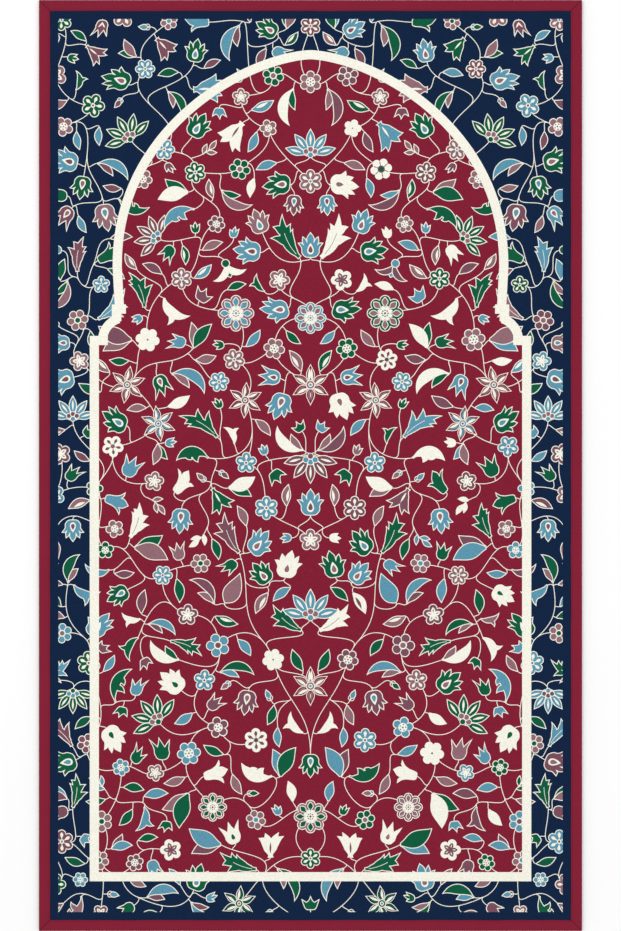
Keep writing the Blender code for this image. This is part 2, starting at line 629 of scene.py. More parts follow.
@dataclass(frozen=True)
class Feather(Motif):
    """A long leaf with curled, flame-like lobes on both sides of its rib."""

    length: float = 54.0
    width: float = 10.5
    bend: float = 0.8

    def patches(self) -> list[Patch]:
        """Draw the leaf with four lobes as one shape, and its rib.

        Returns:
            The patches, lowest first.
        """
        size, width, bend = self.length, self.width, self.bend
        line, heading = spine(size, bend, 21, -bend / 2)
        parts = [blade(size, width, bend, -bend / 2, 0.35, 0.42, 13, thin=1.1)]
        for at, side, reach in ((3, 1, 0.5), (6, -1, 0.46), (8, 1, 0.4), (11, -1, 0.32)):
            turn = heading[at] + side * 0.12
            parts.append(blade(size * reach, width * 0.72, side * 1.0, turn, 0.9, 0.4, 9, line[at], 1.1))
        return figure(parts) + [Patch(stroke(line[2:14:2], LINE * 0.6), Role.MARK)]


@dataclass(frozen=True)
class Lotus(Motif):
    """A fan of pointed petals with slits, over three beads."""

    length: float = 30.0
    petals: int = 5
    spread: float = 150.0

    def patches(self) -> list[Patch]:
        """Draw the petals from the outermost in, then the beads and the base.

        Returns:
            The patches, lowest first.
        """
        size = self.length
        petal = blade(size * 0.8, size * 0.3, fat=0.52, base=0.5, steps=9, root=(0, size * 0.12))
        slit = blade(size * 0.4, size * 0.08, fat=0.5, base=0.4, steps=6, root=(0, size * 0.36))
        made: list[Patch] = []
        angles = np.linspace(-self.spread / 2, self.spread / 2, self.petals)
        for angle in sorted(angles, key=abs, reverse=True):
            made += figure([turned(petal, angle)]) + [Patch(turned(slit, angle), Role.MARK)]
        for angle in (-52.0, 0.0, 52.0):
            made += figure([turned(disc(size * 0.1, (0, size * 0.2), 9), angle)], Role.SECOND, LINE * 0.8)
        return made + figure([disc(size * 0.1, steps=9)], Role.MAIN, LINE * 0.8)


@dataclass(frozen=True)
class Trumpet(Motif):
    """Two petals curling away from a round base, with a lobe between them."""

    length: float = 28.0

    def patches(self) -> list[Patch]:
        """Draw the lobe, the petals and the base.

        Returns:
            The patches, lowest first.
        """
        size = self.length
        made = figure([blade(size * 0.66, size * 0.36, fat=0.6, base=0.5, steps=8)], Role.SECOND)
        for side in (-1, 1):
            petal = blade(size * 1.05, size * 0.25, side * 2.0, -side * 0.12, 0.5, 0.5, 12, thin=1.1)
            made += figure([petal])
        return made + figure([disc(size * 0.16, (0, size * 0.06), 10)], Role.SECOND)


@dataclass(frozen=True)
class Bud(Motif):
    """A closed flower between two sepals."""

    length: float = 13.0

    def patches(self) -> list[Patch]:
        """Draw the flower and the sepals.

        Returns:
            The patches, lowest first.
        """
        size = self.length
        root = (0, size * 0.18)
        made = figure([blade(size * 0.82, size * 0.46, 0.2, base=0.4, fat=0.4, steps=8, root=root)])
        for side in (-1, 1):
            sepal = blade(size * 0.44, size * 0.2, -side * 0.8, side * 0.9, 0.2, 0.5, 6)
            made += figure([sepal], Role.SECOND, LINE * 0.8)
        return made


@dataclass(frozen=True)
class Sprig(Motif):
    """A short stem with leaves on both sides and one at its end."""

    length: float = 30.0
    bend: float = 0.5

    def patches(self) -> list[Patch]:
        """Draw the stem, the last leaf and the two side leaves.

        Returns:
            The patches, lowest first.
        """
        size, bend = self.length, self.bend
        line, heading = spine(size * 0.6, bend, 9, -bend / 2)
        made = [Patch(stroke(line, STEM), Role.EDGE)]
        made += figure([blade(size * 0.46, size * 0.2, bend * 0.6, heading[-1], 0.15, 0.47, 8, line[-1])])
        for at, side in ((4, -1), (6, 1)):
            turn = heading[at] + side * 0.85
            made += figure([blade(size * 0.42, size * 0.18, -side * 0.3, turn, 0.15, 0.47, 8, line[at])])
        return made


# ---- The niche ----


@dataclass(frozen=True)
class Niche:
    """The cream band round the crimson ground: a tall box, rounded shoulders and a pointed arch, in mm."""

    band: float = 11.8
    reach: float = 278.4  # from the rug's middle line to the middle of the upright band
    foot: float = -529.5
    shoulder: float = 161.0
    shoulder_end: float = -261.0
    ring_middle: tuple[float, float] = (-237.7, 160.5)
    ring_radius: float = 30.2
    ring_end: float = 108.0
    neck: tuple[float, float] = (-255.9, -243.6)
    neck_foot: float = 185.7
    collar: tuple[float, float] = (-255.9, -237.7)
    collar_heights: tuple[float, float] = (195.5, 207.4)
    leg: tuple[tuple[float, float], ...] = ((-246.0, 203.4), (-247.6, 232.0))
    arch_reach: float = 248.9
    arch_foot: float = 256.0
    arch_height: float = 273.0
    arch_powers: tuple[float, float] = (1.6, 2.14)
    past: float = 8.0  # how far the outlines run on over the middle line
    overlap: float = 1.0

    def _arch(self) -> Points:
        """Work out the arch's middle line: ``|x/a|^p + |y/b|^q = 1`` over a leg that leans out to it.

        Returns:
            The line, from the foot of the leg to just past the middle.
        """
        angle = np.linspace(0, pi / 2, 44)
        x = -self.arch_reach * np.cos(angle) ** (2 / self.arch_powers[0])
        y = self.arch_foot + self.arch_height * np.sin(angle) ** (2 / self.arch_powers[1])
        line = np.concatenate([self.leg, np.stack([x, y], 1)])
        return np.concatenate([line, line[-2:-5:-1] * (-1, 1)])

    def _ring(self, radius: float) -> Points:
        """Return an arc of the shoulder, from the upright band up to the neck."""
        angle = np.radians(np.linspace(180.0, self.ring_end, 9))
        return np.stack([np.cos(angle), np.sin(angle)], 1) * radius + self.ring_middle

    def ground(self) -> Points:
        """Join the parts of the outline of the crimson ground's left half.

        Returns:
            The outline, out to the middle of the band.
        """
        box = [(self.past, self.foot), (-self.reach, self.foot), (-self.reach, self.shoulder)]
        neck = [(np.mean(self.neck), height) for height in self.collar_heights]
        return ccw(np.concatenate([box, self._ring(self.ring_radius), neck, self._arch()[:-1]]))

    def pieces(self) -> list[Points]:
        """Work out the straight and curved lengths of the band, which overlap.

        Returns:
            The outlines of the band's left half.
        """
        half, low, high = self.band / 2, *self.collar_heights
        left, right = -self.reach - half, -self.reach + half
        inner, outer = self._ring(self.ring_radius - half), self._ring(self.ring_radius + half)
        return [
            rectangle(left, right, self.foot - half, self.shoulder + half),
            rectangle(left, self.past, self.foot - half, self.foot + half),
            rectangle(left, self.shoulder_end, self.shoulder - half, self.shoulder + half),
            ccw(np.concatenate([outer, inner[::-1]])),
            rectangle(*self.neck, self.neck_foot, low + self.overlap),
            rectangle(*self.collar, low, high),
            stroke(self._arch(), self.band),
        ]


# ---- The layout: some flowers are listed, and vines, flowers and leaves grow between them ----


@dataclass(frozen=True)
class Placed:
    """A motif at its place on the left half of the rug."""

    motif: Motif
    root: tuple[float, float]
    heading: float = 0.0  # in degrees clockwise from +Y
    rank: int = 1  # a higher one is drawn over a lower one


def palmette(length: float) -> Bloom:
    """Return a palmette with an eye."""
    return Bloom(Form.PALMETTE, length, True)


# Listed on whole numbers: the motif, the place of its root, and its heading.
LANDMARKS: tuple[tuple[Motif, tuple[float, float], float], ...] = (
    (Rosette(14, 6, Heart.BEADS), (0, 494), 0),
    (Lotus(36), (0, 400), 0),
    (Rosette(15, 6, Heart.SLITS), (0, 366), 0),
    (Feather(62, 14.5, 0.9), (-14, 268), -22),
    (palmette(32), (0, 268), 0),
    (DoubleRosette(20), (0, 190), 0),
    (StarFlower(25), (0, 104), 0),
    (Sickle(50, 13, 1.7), (-10, 20), -62),
    (Lotus(38), (0, 12), 180),
    (palmette(34), (0, -64), 0),
    (Rosette(14, 5, Heart.STAR), (0, -96), 0),
    (Feather(50, 12.5, 0.8), (-12, -212), -48),
    (Lotus(40), (0, -196), 0),
    (StarFlower(24), (0, -284), 0),
    (palmette(30), (0, -372), 180),
    (Curl(34, -0.8), (-10, -344), -30),
    (DoubleRosette(21), (0, -452), 0),
    (Rosette(13, 6, Heart.SLITS), (0, -506), 0),
    (Rosette(13, 6, Heart.SLITS), (0, 566), 0),
    (Bloom(Form.CUP, 17), (0, -572), 0),
    (DoubleRosette(23), (-96, 196), 0),
    (DoubleRosette(18), (-126, -440), 0),
    (palmette(34), (-152, 424), 30),
    (palmette(32), (-62, 300), -20),
    (Lotus(34), (-196, 292), -60),
    (Trumpet(32), (-110, 262), 160),
    (Feather(50, 12.5, -0.8), (-214, 204), -24),
    (Sickle(50, 13, -1.5, barb=True), (-150, 330), -110),
    (Leaf(38, 15, 0.5, twin=True), (-150, 152), 40),
    (Sickle(56, 13.5, 1.9), (-178, 118), 105),
    (StarFlower(23), (-236, 104), 10),
    (StarFlower(22), (-196, 54), -8),
    (StarFlower(22), (-84, 84), 4),
    (Sickle(46, 14.5, -1.7, barb=True), (-132, 10), -80),
    (Feather(56, 13, 0.8), (-92, -112), -20),
    (Feather(46, 12.5, -0.7), (-232, -92), 15),
    (Lily(36), (-126, -30), 150),
    (palmette(32), (-166, -56), 185),
    (Leaf(42, 22, -0.4, fat=0.36), (-110, -176), 25),
    (palmette(32), (-54, -150), -40),
    (palmette(30), (-236, -160), -120),
    (Curl(36, 0.9), (-222, -222), 200),
    (Sickle(48, 13, 1.6), (-170, -250), -70),
    (Lotus(38), (-196, -330), -40),
    (palmette(32), (-80, -290), 190),
    (Sickle(46, 14.5, 1.5, barb=True), (-50, -400), -80),
    (Curl(36, -0.8), (-214, -440), 200),
    (Feather(52, 12.5, 0.7), (-70, -520), -65),
    (Lotus(36), (-232, 420), -30),
    (Sickle(52, 13.5, -1.7), (-92, 566), -150),
    (palmette(30), (-150, 520), 10),
    (palmette(30), (-44, 556), -60),
    (Lily(30), (-288, 540), 130),
    (palmette(30), (-292, 372), 190),
    (Feather(46, 12, 0.7), (-300, 250), 10),
    (Lotus(32), (-306, 60), 0),
    (palmette(28), (-306, -70), 180),
    (Sickle(42, 12.5, 1.5), (-312, -150), 10),
    (Lotus(32), (-306, -290), 180),
    (Feather(44, 11, -0.6), (-306, -440), 5),
    (StarFlower(22), (-92, -564), 6),
    (Sickle(44, 13, 1.5), (-210, -556), 70),
)


@dataclass
class FreeGround:
    """A map of the left half of the rug, in square cells, that says where nothing is drawn yet."""

    cell: float = 1.5  # mm
    corner: tuple[float, float] = (-345.0, -597.0)
    shape: tuple[int, int] = (232, 796)

    def __post_init__(self) -> None:
        """Start with all of it free but a strip along the rug's middle line."""
        self.taken = np.zeros(self.shape, bool)
        self.taken[self.middles()[..., 0] > -self.cell] = True

    def middles(self) -> np.ndarray:
        """Return the middle of every cell."""
        x, y = [low + (np.arange(count) + 0.5) * self.cell for low, count in zip(self.corner, self.shape)]
        return np.stack(np.meshgrid(x, y, indexing="ij"), -1)

    def cells(self, points: Points) -> tuple[np.ndarray, np.ndarray]:
        """Return the cell that each point falls in, kept inside the map."""
        place = np.clip(((points - self.corner) / self.cell).astype(int), 0, np.array(self.shape) - 1)
        return place[:, 0], place[:, 1]

    def clashes(self, points: Points) -> int:
        """Count the points that fall on cells already taken, or across the middle line."""
        return int(self.taken[self.cells(points)].sum() + (points[:, 0] > 0).sum())

    def take(self, points: Points) -> None:
        """Mark the cells of some points as taken."""
        self.taken[self.cells(points)] = True

    def depths(self) -> np.ndarray:
        """Peel the free ground away, a cell at a time, by four neighbours and by eight in turn.

        Returns:
            Each cell's distance in mm to the nearest taken one.
        """
        free = np.pad(~self.taken, 1)
        depth = np.zeros(free.shape)
        step = 0
        while free.any():
            depth += free * self.cell
            near = free[2:, 1:-1] & free[:-2, 1:-1] & free[1:-1, 2:] & free[1:-1, :-2]
            if step % 2:
                near &= free[2:, 2:] & free[:-2, :-2] & free[2:, :-2] & free[:-2, 2:]
            free, step = np.pad(near & free[1:-1, 1:-1], 1), step + 1
        return depth[1:-1, 1:-1]


def cover(motif: Motif, margin: float, spacing: float = 1.2) -> Points:
    """Fill a motif's outline and a margin round it with an even grid of points.

    Args:
        motif: The motif, at its own origin.
        margin: How far the points go past its cream edge.
        spacing: Distance between the points.

    Returns:
        The points.
    """
    outlines = [grown(patch.outline, margin) for patch in motif.patches() if patch.role is Role.EDGE]
    low = np.min([outline.min(0) for outline in outlines], 0)
    high = np.max([outline.max(0) for outline in outlines], 0) + spacing
    points = lattice(np.arange(low[0], high[0], spacing), np.arange(low[1], high[1], spacing))
    return points[np.any([winding(outline, points) > 0 for outline in outlines], 0)]


def curve(start: Points, leave: Points, arrive: Points, end: Points, spacing: float = 2.4) -> Points:
    """Return a cubic curve: ``(1-t)^3 a + 3 (1-t)^2 t b + 3 (1-t) t^2 c + t^3 d`` for t from 0 to 1.

    Args:
        start: Its first point, a.
        leave: The point b that it leaves towards.
        arrive: The point c that it arrives from.
        end: Its last point, d.
        spacing: About the length of a step.

    Returns:
        Points along it.
    """
    length = np.linalg.norm(leave - start) + np.linalg.norm(arrive - leave) + np.linalg.norm(end - arrive)
    t = np.linspace(0, 1, max(5, int(length / spacing)))[:, None]
    return (1 - t) ** 3 * start + 3 * (1 - t) ** 2 * t * leave + 3 * (1 - t) * t**2 * arrive + t**3 * end


def compass(degrees: float) -> Points:
    """Return the arrow of length 1 along a heading."""
    return np.array([np.sin(np.radians(degrees)), np.cos(np.radians(degrees))])


class Gap(Enum):
    """Kinds of free ground: its least depth in mm, the most motifs that it gets, and how often each comes."""

    WIDE = (20.0, 60, (0.22, 0.11, 0.1, 0.19, 0.14, 0.06, 0.11, 0.07))
    MIDDLE = (16.6, 80, (0.18, 0.12, 0.16, 0.16, 0.16, 0.06, 0.1, 0.06))
    SMALL = (12.8, 140, (0.7, 0.12, 0.1, 0.08))


@dataclass
class Layout:
    """The vines, flowers and leaves of the left half of the rug, grown from a seed. Lengths are in mm."""

    seed: int = 7
    rosette_rooms: tuple[float, ...] = (33.0, 26.0, 19.5)  # least room round a thrown rosette
    throws: int = 4000
    thrown_in: tuple[float, float, float] = (-330.0, -16.0, 580.0)  # left, right, and half the height
    usual_radius: float = 13.0
    bulges: tuple[float, ...] = (0.34, -0.34, 0.24, -0.24, 0.46, -0.46, 0.14, -0.14)  # shares of a span
    twists: tuple[float, ...] = (1.0, 0.2, -1.0)  # bulge at a vine's end against that at its start
    vine_pull: float = 0.3  # share of its span over which a vine bends out to its bulge, and back
    vine_whim: float = 0.6  # greatest random part of a vine's score
    worst_vine: float = 9.0  # a vine or a stalk with a higher score isn't laid
    first_reach: float = 150.0  # how far a landmark's stalk may be from its start
    first_tries: int = 24
    stalk_pull: float = 0.45  # share of its span by which a stalk keeps its heading at each end
    stalk_price: float = 0.02  # score for each mm of its span
    worst_stalk: float = 7.0
    beside_path: float = 2.2  # how far beside a vine or a stalk its way has to be clear
    own_ground: float = 0.4  # of every motif, past its cream edge
    margin: float = 3.2  # of free ground round a motif that grows in a gap
    heading_step: int = 24  # between the headings tried for it, in degrees
    most_clashes: int = 2
    border_calm: float = 0.95  # a gap in the border counts as this much of its depth, so it is emptier
    foot_cells: int = 12  # rows of cells at the foot that count as shallow
    placed: list[Placed] = field(default_factory=list)
    vines: list[Points] = field(default_factory=list)

    def __post_init__(self) -> None:
        """Start with free ground, no round flower to link, and no vine for a stalk to start from."""
        self.rng = np.random.default_rng(self.seed)
        self.ground = FreeGround()
        turns = winding(Niche().ground(), self.ground.middles().reshape(-1, 2))
        self.border = turns.reshape(self.ground.shape) <= 0
        self.nodes: list[tuple[float, float, float]] = []
        self.stations = np.zeros((0, 4))

    def grow(self) -> None:
        """Place the landmarks, throw rosettes between them, link all of them, and fill what is left."""
        waiting = []
        for motif, root, heading in LANDMARKS:
            landmark = Placed(motif, root, heading)
            self._place(landmark)
            if isinstance(motif, (Rosette, DoubleRosette, StarFlower)):
                self.nodes.append((*root, motif.radius))
            else:
                waiting.append(landmark)
        for room in self.rosette_rooms:
            self._throw_rosettes(room)
        self._link_nodes()
        for landmark in waiting:
            root = np.array(landmark.root)
            _, path = self._stalk(root, landmark.heading, self.first_reach, self.first_tries)
            if path is not None:
                self._lay(path)
        for gap in Gap:
            self._fill(gap)

    def _place(self, item: Placed) -> None:
        """Keep a motif and take its ground.

        Args:
            item: The motif at its place.
        """
        self.placed.append(item)
        points = turned(cover(item.motif, self.own_ground), item.heading, item.root)
        self.ground.take(points[points[:, 0] < 1])

    def _lay(self, path: Points) -> None:
        """Keep a vine, take its ground, and let stalks start from it.

        Args:
            path: Points along it.
        """
        self.vines.append(path)
        row = np.concatenate([path, unit(np.gradient(path, axis=0))], 1)[2:-2]
        self.stations = np.concatenate([self.stations, row[row[:, 0] < -2]])
        self.ground.take(path[1:-1])
        self.ground.take((path[1:] + path[:-1]) / 2)

    def _rosette(self, scale: float = 1.0) -> Rosette:
        """Choose a rosette.

        Args:
            scale: Makes it smaller below 1.

        Returns:
            The rosette, of any size, heart and number of petals.
        """
        radius = float(self.rng.choice([11.0, 12.5, 13.5, 15.0], p=[0.25, 0.3, 0.3, 0.15])) * scale
        heart = list(Heart)[self.rng.choice(4, p=[0.4, 0.26, 0.18, 0.16])]
        petals = 5 if heart is Heart.STAR or self.rng.random() < 0.35 else 6
        return Rosette(radius, petals, heart, float(self.rng.uniform(0, 60)))

    def _throw_rosettes(self, room: float) -> None:
        """Throw rosettes at the free ground.

        Args:
            room: Each keeps at least this far from everything.
        """
        (left, right, tall), far = self.thrown_in, self.usual_radius + room
        rings = [disc(radius, steps=int(radius * 1.6)) for radius in np.arange(3.0, far, 4.0)]
        around = np.concatenate([*rings, disc(far, steps=44)])
        for _ in range(self.throws):
            place = np.array([self.rng.uniform(left, right), self.rng.uniform(-tall, tall)])
            near = around + place
            if not self.ground.clashes(near[near[:, 0] > left - 5.0]):
                motif = self._rosette()
                self._place(Placed(motif, tuple(place.tolist()), 0.0, 3))
                self.nodes.append((*place.tolist(), motif.radius))

    def _score(self, path: Points, ends: Iterable[tuple[Points, float]]) -> float:
        """Score a vine by how much of it, and of two lines beside it, runs over something.

        Args:
            path: Points along it.
            ends: Its ends, each with the radius within which nothing counts.

        Returns:
            The score, 0 for a clear way.
        """
        keep = np.all([np.linalg.norm(path - end, axis=1) > reach for end, reach in ends], 0)
        body, side = path[keep], beside(unit(np.gradient(path, axis=0)[keep])) * self.beside_path
        return self.ground.clashes(np.concatenate([body, body + side, body - side])) / 3

    def _link_nodes(self) -> None:
        """Join all round flowers by the shortest tree of links."""
        nodes = np.array(self.nodes)
        apart = np.linalg.norm(nodes[:, None, :2] - nodes[None, :, :2], axis=2)
        joined, rest = [0], list(range(1, len(nodes)))
        while rest:
            row, column = np.unravel_index(apart[np.ix_(joined, rest)].argmin(), (len(joined), len(rest)))
            first, second = joined[row], rest.pop(column)
            joined.append(second)
            self._link(nodes[first], nodes[second])

    def _link(self, first: Points, second: Points) -> None:
        """Lay one vine between two round flowers, bent to the freer side.

        Args:
            first: Middle and radius of the one.
            second: Middle and radius of the other.
        """
        start, end = first[:2], second[:2]
        span, pull = end - start, (end - start) * self.vine_pull
        side = np.array([-span[1], span[0]])
        scored = []
        for bulge, twist in product(self.bulges, self.twists):
            path = curve(start, start + pull + side * bulge, end - pull + side * bulge * twist, end)
            score = self._score(path, [(start, first[2] + 2), (end, second[2] + 2)])
            scored.append((score + self.rng.uniform(0, self.vine_whim), path))
        score, path = min(scored, key=itemgetter(0))
        if score < self.worst_vine:
            self._lay(path)

    def _stalk(self, root: Points, heading: float, reach: float, tries: int) -> tuple[float, Points | None]:
        """Find the best stalk from the vines to a motif's root.

        Args:
            root: Where the stalk ends.
            heading: The motif's heading, which the stalk ends along.
            reach: How far away its start may be.
            tries: How many starts are tried.

        Returns:
            Its score, lower is better, and its path.
        """
        offsets = root - self.stations[:, :2]
        distance = np.linalg.norm(offsets, axis=1)
        ahead = (offsets @ compass(heading)) / np.maximum(distance, 1e-6)
        # Near starts behind the motif come first, those too near come last, and every third is tried.
        order = np.argsort(distance * (1.9 - ahead) + (distance < 5) * 30)[: tries * 3 : 3]
        scored: list[tuple[float, Points | None]] = [(1e9, None)]
        for row, sign in product(order[distance[order] <= reach], (1, -1)):
            start, leave, gap = self.stations[row, :2], self.stations[row, 2:] * sign, distance[row]
            if leave @ offsets[row] >= -0.2 * gap:  # it sets out towards the root
                arrive = root - compass(heading) * gap * self.stalk_pull
                path = curve(start, start + leave * gap * self.stalk_pull, arrive, root)
                score = self._score(path, [(start, 6.0), (root, 4.0)]) + gap * self.stalk_price
                scored.append((score, path))
        return min(scored, key=itemgetter(0))

    def _fill(self, gap: Gap) -> None:
        """Put motifs in the free ground, the deepest first.

        Args:
            gap: The kind that is filled.
        """
        least, count, _ = gap.value
        tried = np.zeros(self.ground.shape, bool)
        for _ in range(count):
            depth = self.ground.depths()
            depth[tried] = 0
            depth[self.border] *= self.border_calm
            depth[:, : self.foot_cells] = np.minimum(depth[:, : self.foot_cells], 4)
            cell = np.array(np.unravel_index(depth.argmax(), depth.shape))
            room = depth[tuple(cell)]
            if room < least:
                return
            place = np.array(self.ground.corner) + (cell + 0.5) * self.ground.cell
            if not self._sprout(place, room, gap):
                low = np.maximum(cell - 4, 0)
                tried[low[0] : cell[0] + 5, low[1] : cell[1] + 5] = True

    def _sprout(self, place: Points, room: float, gap: Gap) -> bool:
        """Grow a motif, tried at many headings, with its middle at a place.

        Args:
            place: The middle of the free ground.
            room: Its depth.
            gap: Its kind.

        Returns:
            Whether one fits.
        """
        best, choice = self.worst_stalk, None
        for _ in range(3):
            motif = self._choose(gap, room)
            points = cover(motif, self.margin)
            middle = (points.min(0) + points.max(0)) / 2
            for heading in self.rng.uniform(0, 360) + np.arange(0, 360, self.heading_step):
                root = place - turned(middle, heading)
                clashes = self.ground.clashes(turned(points, heading, root))
                if clashes > self.most_clashes:
                    continue
                score, path = self._stalk(root, heading, reach=30 + room * 2.5, tries=5)
                score += clashes * 0.5 + self.rng.uniform(0, 0.5)
                if path is not None and score < best:
                    item = Placed(motif, tuple(root.tolist()), float(heading), 2)
                    best, choice = score, (path, item)
            if choice:
                self._lay(choice[0])
                self._place(choice[1])
                return True
        return False

    def _lean(self) -> float:
        """Choose how far a flower leans."""
        return float(self.rng.uniform(-0.3, 0.3))

    def _choose(self, gap: Gap, room: float) -> Motif:
        """Choose a motif for free ground, by its kind and its depth.

        Args:
            gap: The kind.
            room: The depth.

        Returns:
            The motif.
        """
        odds = gap.value[2]
        pick = self.rng.choice(len(odds), p=odds)
        bend = float(self.rng.choice([-1.0, 1.0]))
        match gap:
            case Gap.WIDE:
                size = min(2.1 * room - 8.0, 46.0)
                choices = (
                    Bloom(Form.PALMETTE, min(size, 35.0), True, lean=self._lean()),
                    Bloom(Form.TULIP, min(size, 28.0), bend > 0, lean=self._lean()),
                    Lily(size * 0.86, 1.25, self._lean()),
                    Sickle(size * 1.15, size * 0.27, 1.7 * bend, self.rng.random() < 0.35),
                    Leaf(size, size * 0.46, 0.55 * bend, twin=True),
                    Bloom(Form.BELL, min(size, 31.0), lean=self._lean()),
                    Feather(size * 1.25, size * 0.26, 0.8 * bend),
                    Curl(size, 0.9 * bend),
                )
            case Gap.MIDDLE:
                size = 2.0 * room - 5.0
                choices = (
                    Bloom(Form.TULIP, min(size, 22.0), slit=self.rng.random() < 0.3, lean=self._lean()),
                    Bloom(Form.PALMETTE, min(size, 26.0), True, lean=self._lean()),
                    self._rosette(0.85),
                    Leaf(min(size, 26.0), min(size, 26.0) * 0.45, 0.5 * bend),
                    Leaf(min(size, 27.0), min(size, 27.0) * 0.43, 0.6 * bend, twin=True),
                    Bloom(Form.CUP, min(size, 18.0), lean=self._lean()),
                    Sprig(min(size * 1.2, 32.0), 0.5 * bend),
                    Curl(min(size, 27.0), 0.8 * bend),
                )
            case Gap.SMALL:
                size = 2.0 * room - 2.5
                choices = (
                    Leaf(size, size * 0.41, 0.5 * bend, stripe=self.rng.random() < 0.25),
                    Bud(min(size, 15.0)),
                    Bloom(Form.BUD, min(size, 14.0), lean=self._lean()),
                    Bloom(Form.CUP, min(size, 14.0), lean=self._lean()),
                )
        return choices[pick]


# ---- Colours, and the cut of the pattern into triangles ----


@dataclass(frozen=True)
class Painted:
    """An outline on the left half, with its yarn there and in its mirror image."""

    outline: Points
    left: Yarn
    right: Yarn


def plain(outlines: Iterable[Points], yarn: Yarn) -> list[Painted]:
    """Paint outlines in one yarn on both halves."""
    return [Painted(outline, yarn, yarn) for outline in outlines]


FLOWER_YARNS = (Yarn.MAUVE, Yarn.GREEN, Yarn.BLUE, Yarn.PLUM, Yarn.CREAM)
OTHER_CHANCES = (0.06, 0.42, 0.36, 0.16, 0.24)
# How often each kind of flower has each of those yarns.
CHANCES: dict[type[Motif], tuple[float, ...]] = {
    **dict.fromkeys((Rosette, DoubleRosette, StarFlower), (0.34, 0.22, 0.31, 0.13, 0.16)),
    **dict.fromkeys((Leaf, Bud, Sprig), (0.26, 0.31, 0.29, 0.14, 0.12)),
    **dict.fromkeys((Sickle, Lily, Curl), (0.06, 0.34, 0.28, 0.12, 0.45)),
}
# The second yarn that goes with each, often and less often.
SECONDS = {
    Yarn.MAUVE: (Yarn.BLUE, Yarn.GREEN),
    Yarn.GREEN: (Yarn.MAUVE, Yarn.BLUE),
    Yarn.BLUE: (Yarn.PLUM, Yarn.MAUVE),
    Yarn.PLUM: (Yarn.MAUVE, Yarn.BLUE),
    Yarn.CREAM: (Yarn.MAUVE, Yarn.GREEN),
}


@dataclass
class Dyer:
    """Chooses the yarns of each flower, unlike those of its neighbours."""

    niche: Points
    near: float = 38.0  # mm
    far: float = 60.0
    done: list[tuple[float, float, Yarn]] = field(default_factory=list)
    rng: np.random.Generator = field(default_factory=lambda: np.random.default_rng(11))

    def dress(self, root: tuple[float, float], side: float, chances: tuple[float, ...]) -> dict[Role, Yarn]:
        """Choose a flower's yarns.

        Args:
            root: Where the flower stands on the left half.
            side: 1 for the flower itself, -1 for its mirror image.
            chances: How often it has each of the flower yarns.

        Returns:
            The yarn for each role.
        """
        shares = np.array(chances)
        for x, y, yarn in self.done:
            gap = np.hypot(x - root[0] * side, y - root[1])
            if gap < self.far:
                shares[FLOWER_YARNS.index(yarn)] *= 0.35 if gap < self.near else 0.7
        main = FLOWER_YARNS[self.rng.choice(len(FLOWER_YARNS), p=shares / shares.sum())]
        self.done.append((root[0] * side, root[1], main))
        inside = winding(self.niche, np.array([root]))[0] > 0
        return {
            Role.EDGE: Yarn.CREAM,
            Role.MAIN: main,
            Role.MARK: Yarn.PLUM if main is Yarn.CREAM else Yarn.CREAM,
            Role.SECOND: SECONDS[main][int(self.rng.random() < 0.4)],
            Role.GROUND: Yarn.CRIMSON if inside else Yarn.NAVY,
        }


@dataclass
class Pattern:
    """The whole design of the left half, as outlines in painter's order over navy."""

    half: tuple[float, float]  # half the pile's width and length, mm
    window: tuple[float, float] = (324.7, 575.0)  # half sides of the part with flowers, in a plain margin
    past: float = 8.0  # how far the outlines run on over the middle line, mm
    over: float = 1.0  # how far the margin runs out past the pile, mm
    clear_band: float = 9.0  # a cream flower keeps this far inside the band's middle, mm

    def painted(self) -> list[Painted]:
        """Lay the ground, the vines, the flowers, the margin and the band over each other.

        Returns:
            The outlines, lowest first.
        """
        niche, layout = Niche(), Layout()
        ground = niche.ground()
        layout.grow()
        counts = len(layout.placed), len(layout.vines)
        log.info("layout: %d flowers and leaves, %d vines on each half", *counts)
        vines = [stroke(path, STEM) for path in layout.vines]
        (x, y), (wide, long) = self.window, [size + self.over for size in self.half]
        margin = [rectangle(-wide, -x, -long, long)]
        margin += [rectangle(-wide, self.past, low, high) for low, high in ((y, long), (-long, -y))]
        made = plain([ground], Yarn.CRIMSON) + plain(vines, Yarn.CREAM) + self._flowers(layout, Dyer(ground))
        return made + plain(margin, Yarn.NAVY) + plain(niche.pieces(), Yarn.CREAM)

    def _flowers(self, layout: Layout, dyer: Dyer) -> list[Painted]:
        """Dye the flowers and leaves; only those well inside the band may be cream, so that none joins it.

        Args:
            layout: Where they stand.
            dyer: Chooses their yarns.

        Returns:
            The patches of those that show in the window, lowest first.
        """
        made: list[Painted] = []
        inner = grown(dyer.niche, -self.clear_band)
        for item in sorted(layout.placed, key=lambda placed: placed.rank):
            patches = [patch.placed(item.heading, item.root) for patch in item.motif.patches()]
            clear = all((winding(inner, patch.outline) > 0).all() for patch in patches)
            *coloured, cream = CHANCES.get(type(item.motif), OTHER_CHANCES)
            chances = (*coloured, cream * clear)
            left = dyer.dress(item.root, 1.0, chances)
            right = left if item.root[0] == 0 else dyer.dress(item.root, -1.0, chances)
            for patch in patches:
                low, high = patch.outline.min(0), patch.outline.max(0)
                if high[0] >= -self.window[0] and high[1] >= -self.window[1] and low[1] <= self.window[1]:
                    made.append(Painted(softened(patch.outline), left[patch.role], right[patch.role]))
        return made


def triangulate(points: Points, edges: np.ndarray, join: float = 2e-3) -> tuple[Points, np.ndarray]:
    """Cut a plane into counter-clockwise triangles that keep to edges; corners within join become one."""
    made = delaunay_2d_cdt(points.tolist(), edges.tolist(), [], 0, join, False)
    return np.array([tuple(corner) for corner in made[0]]), np.array(made[2])


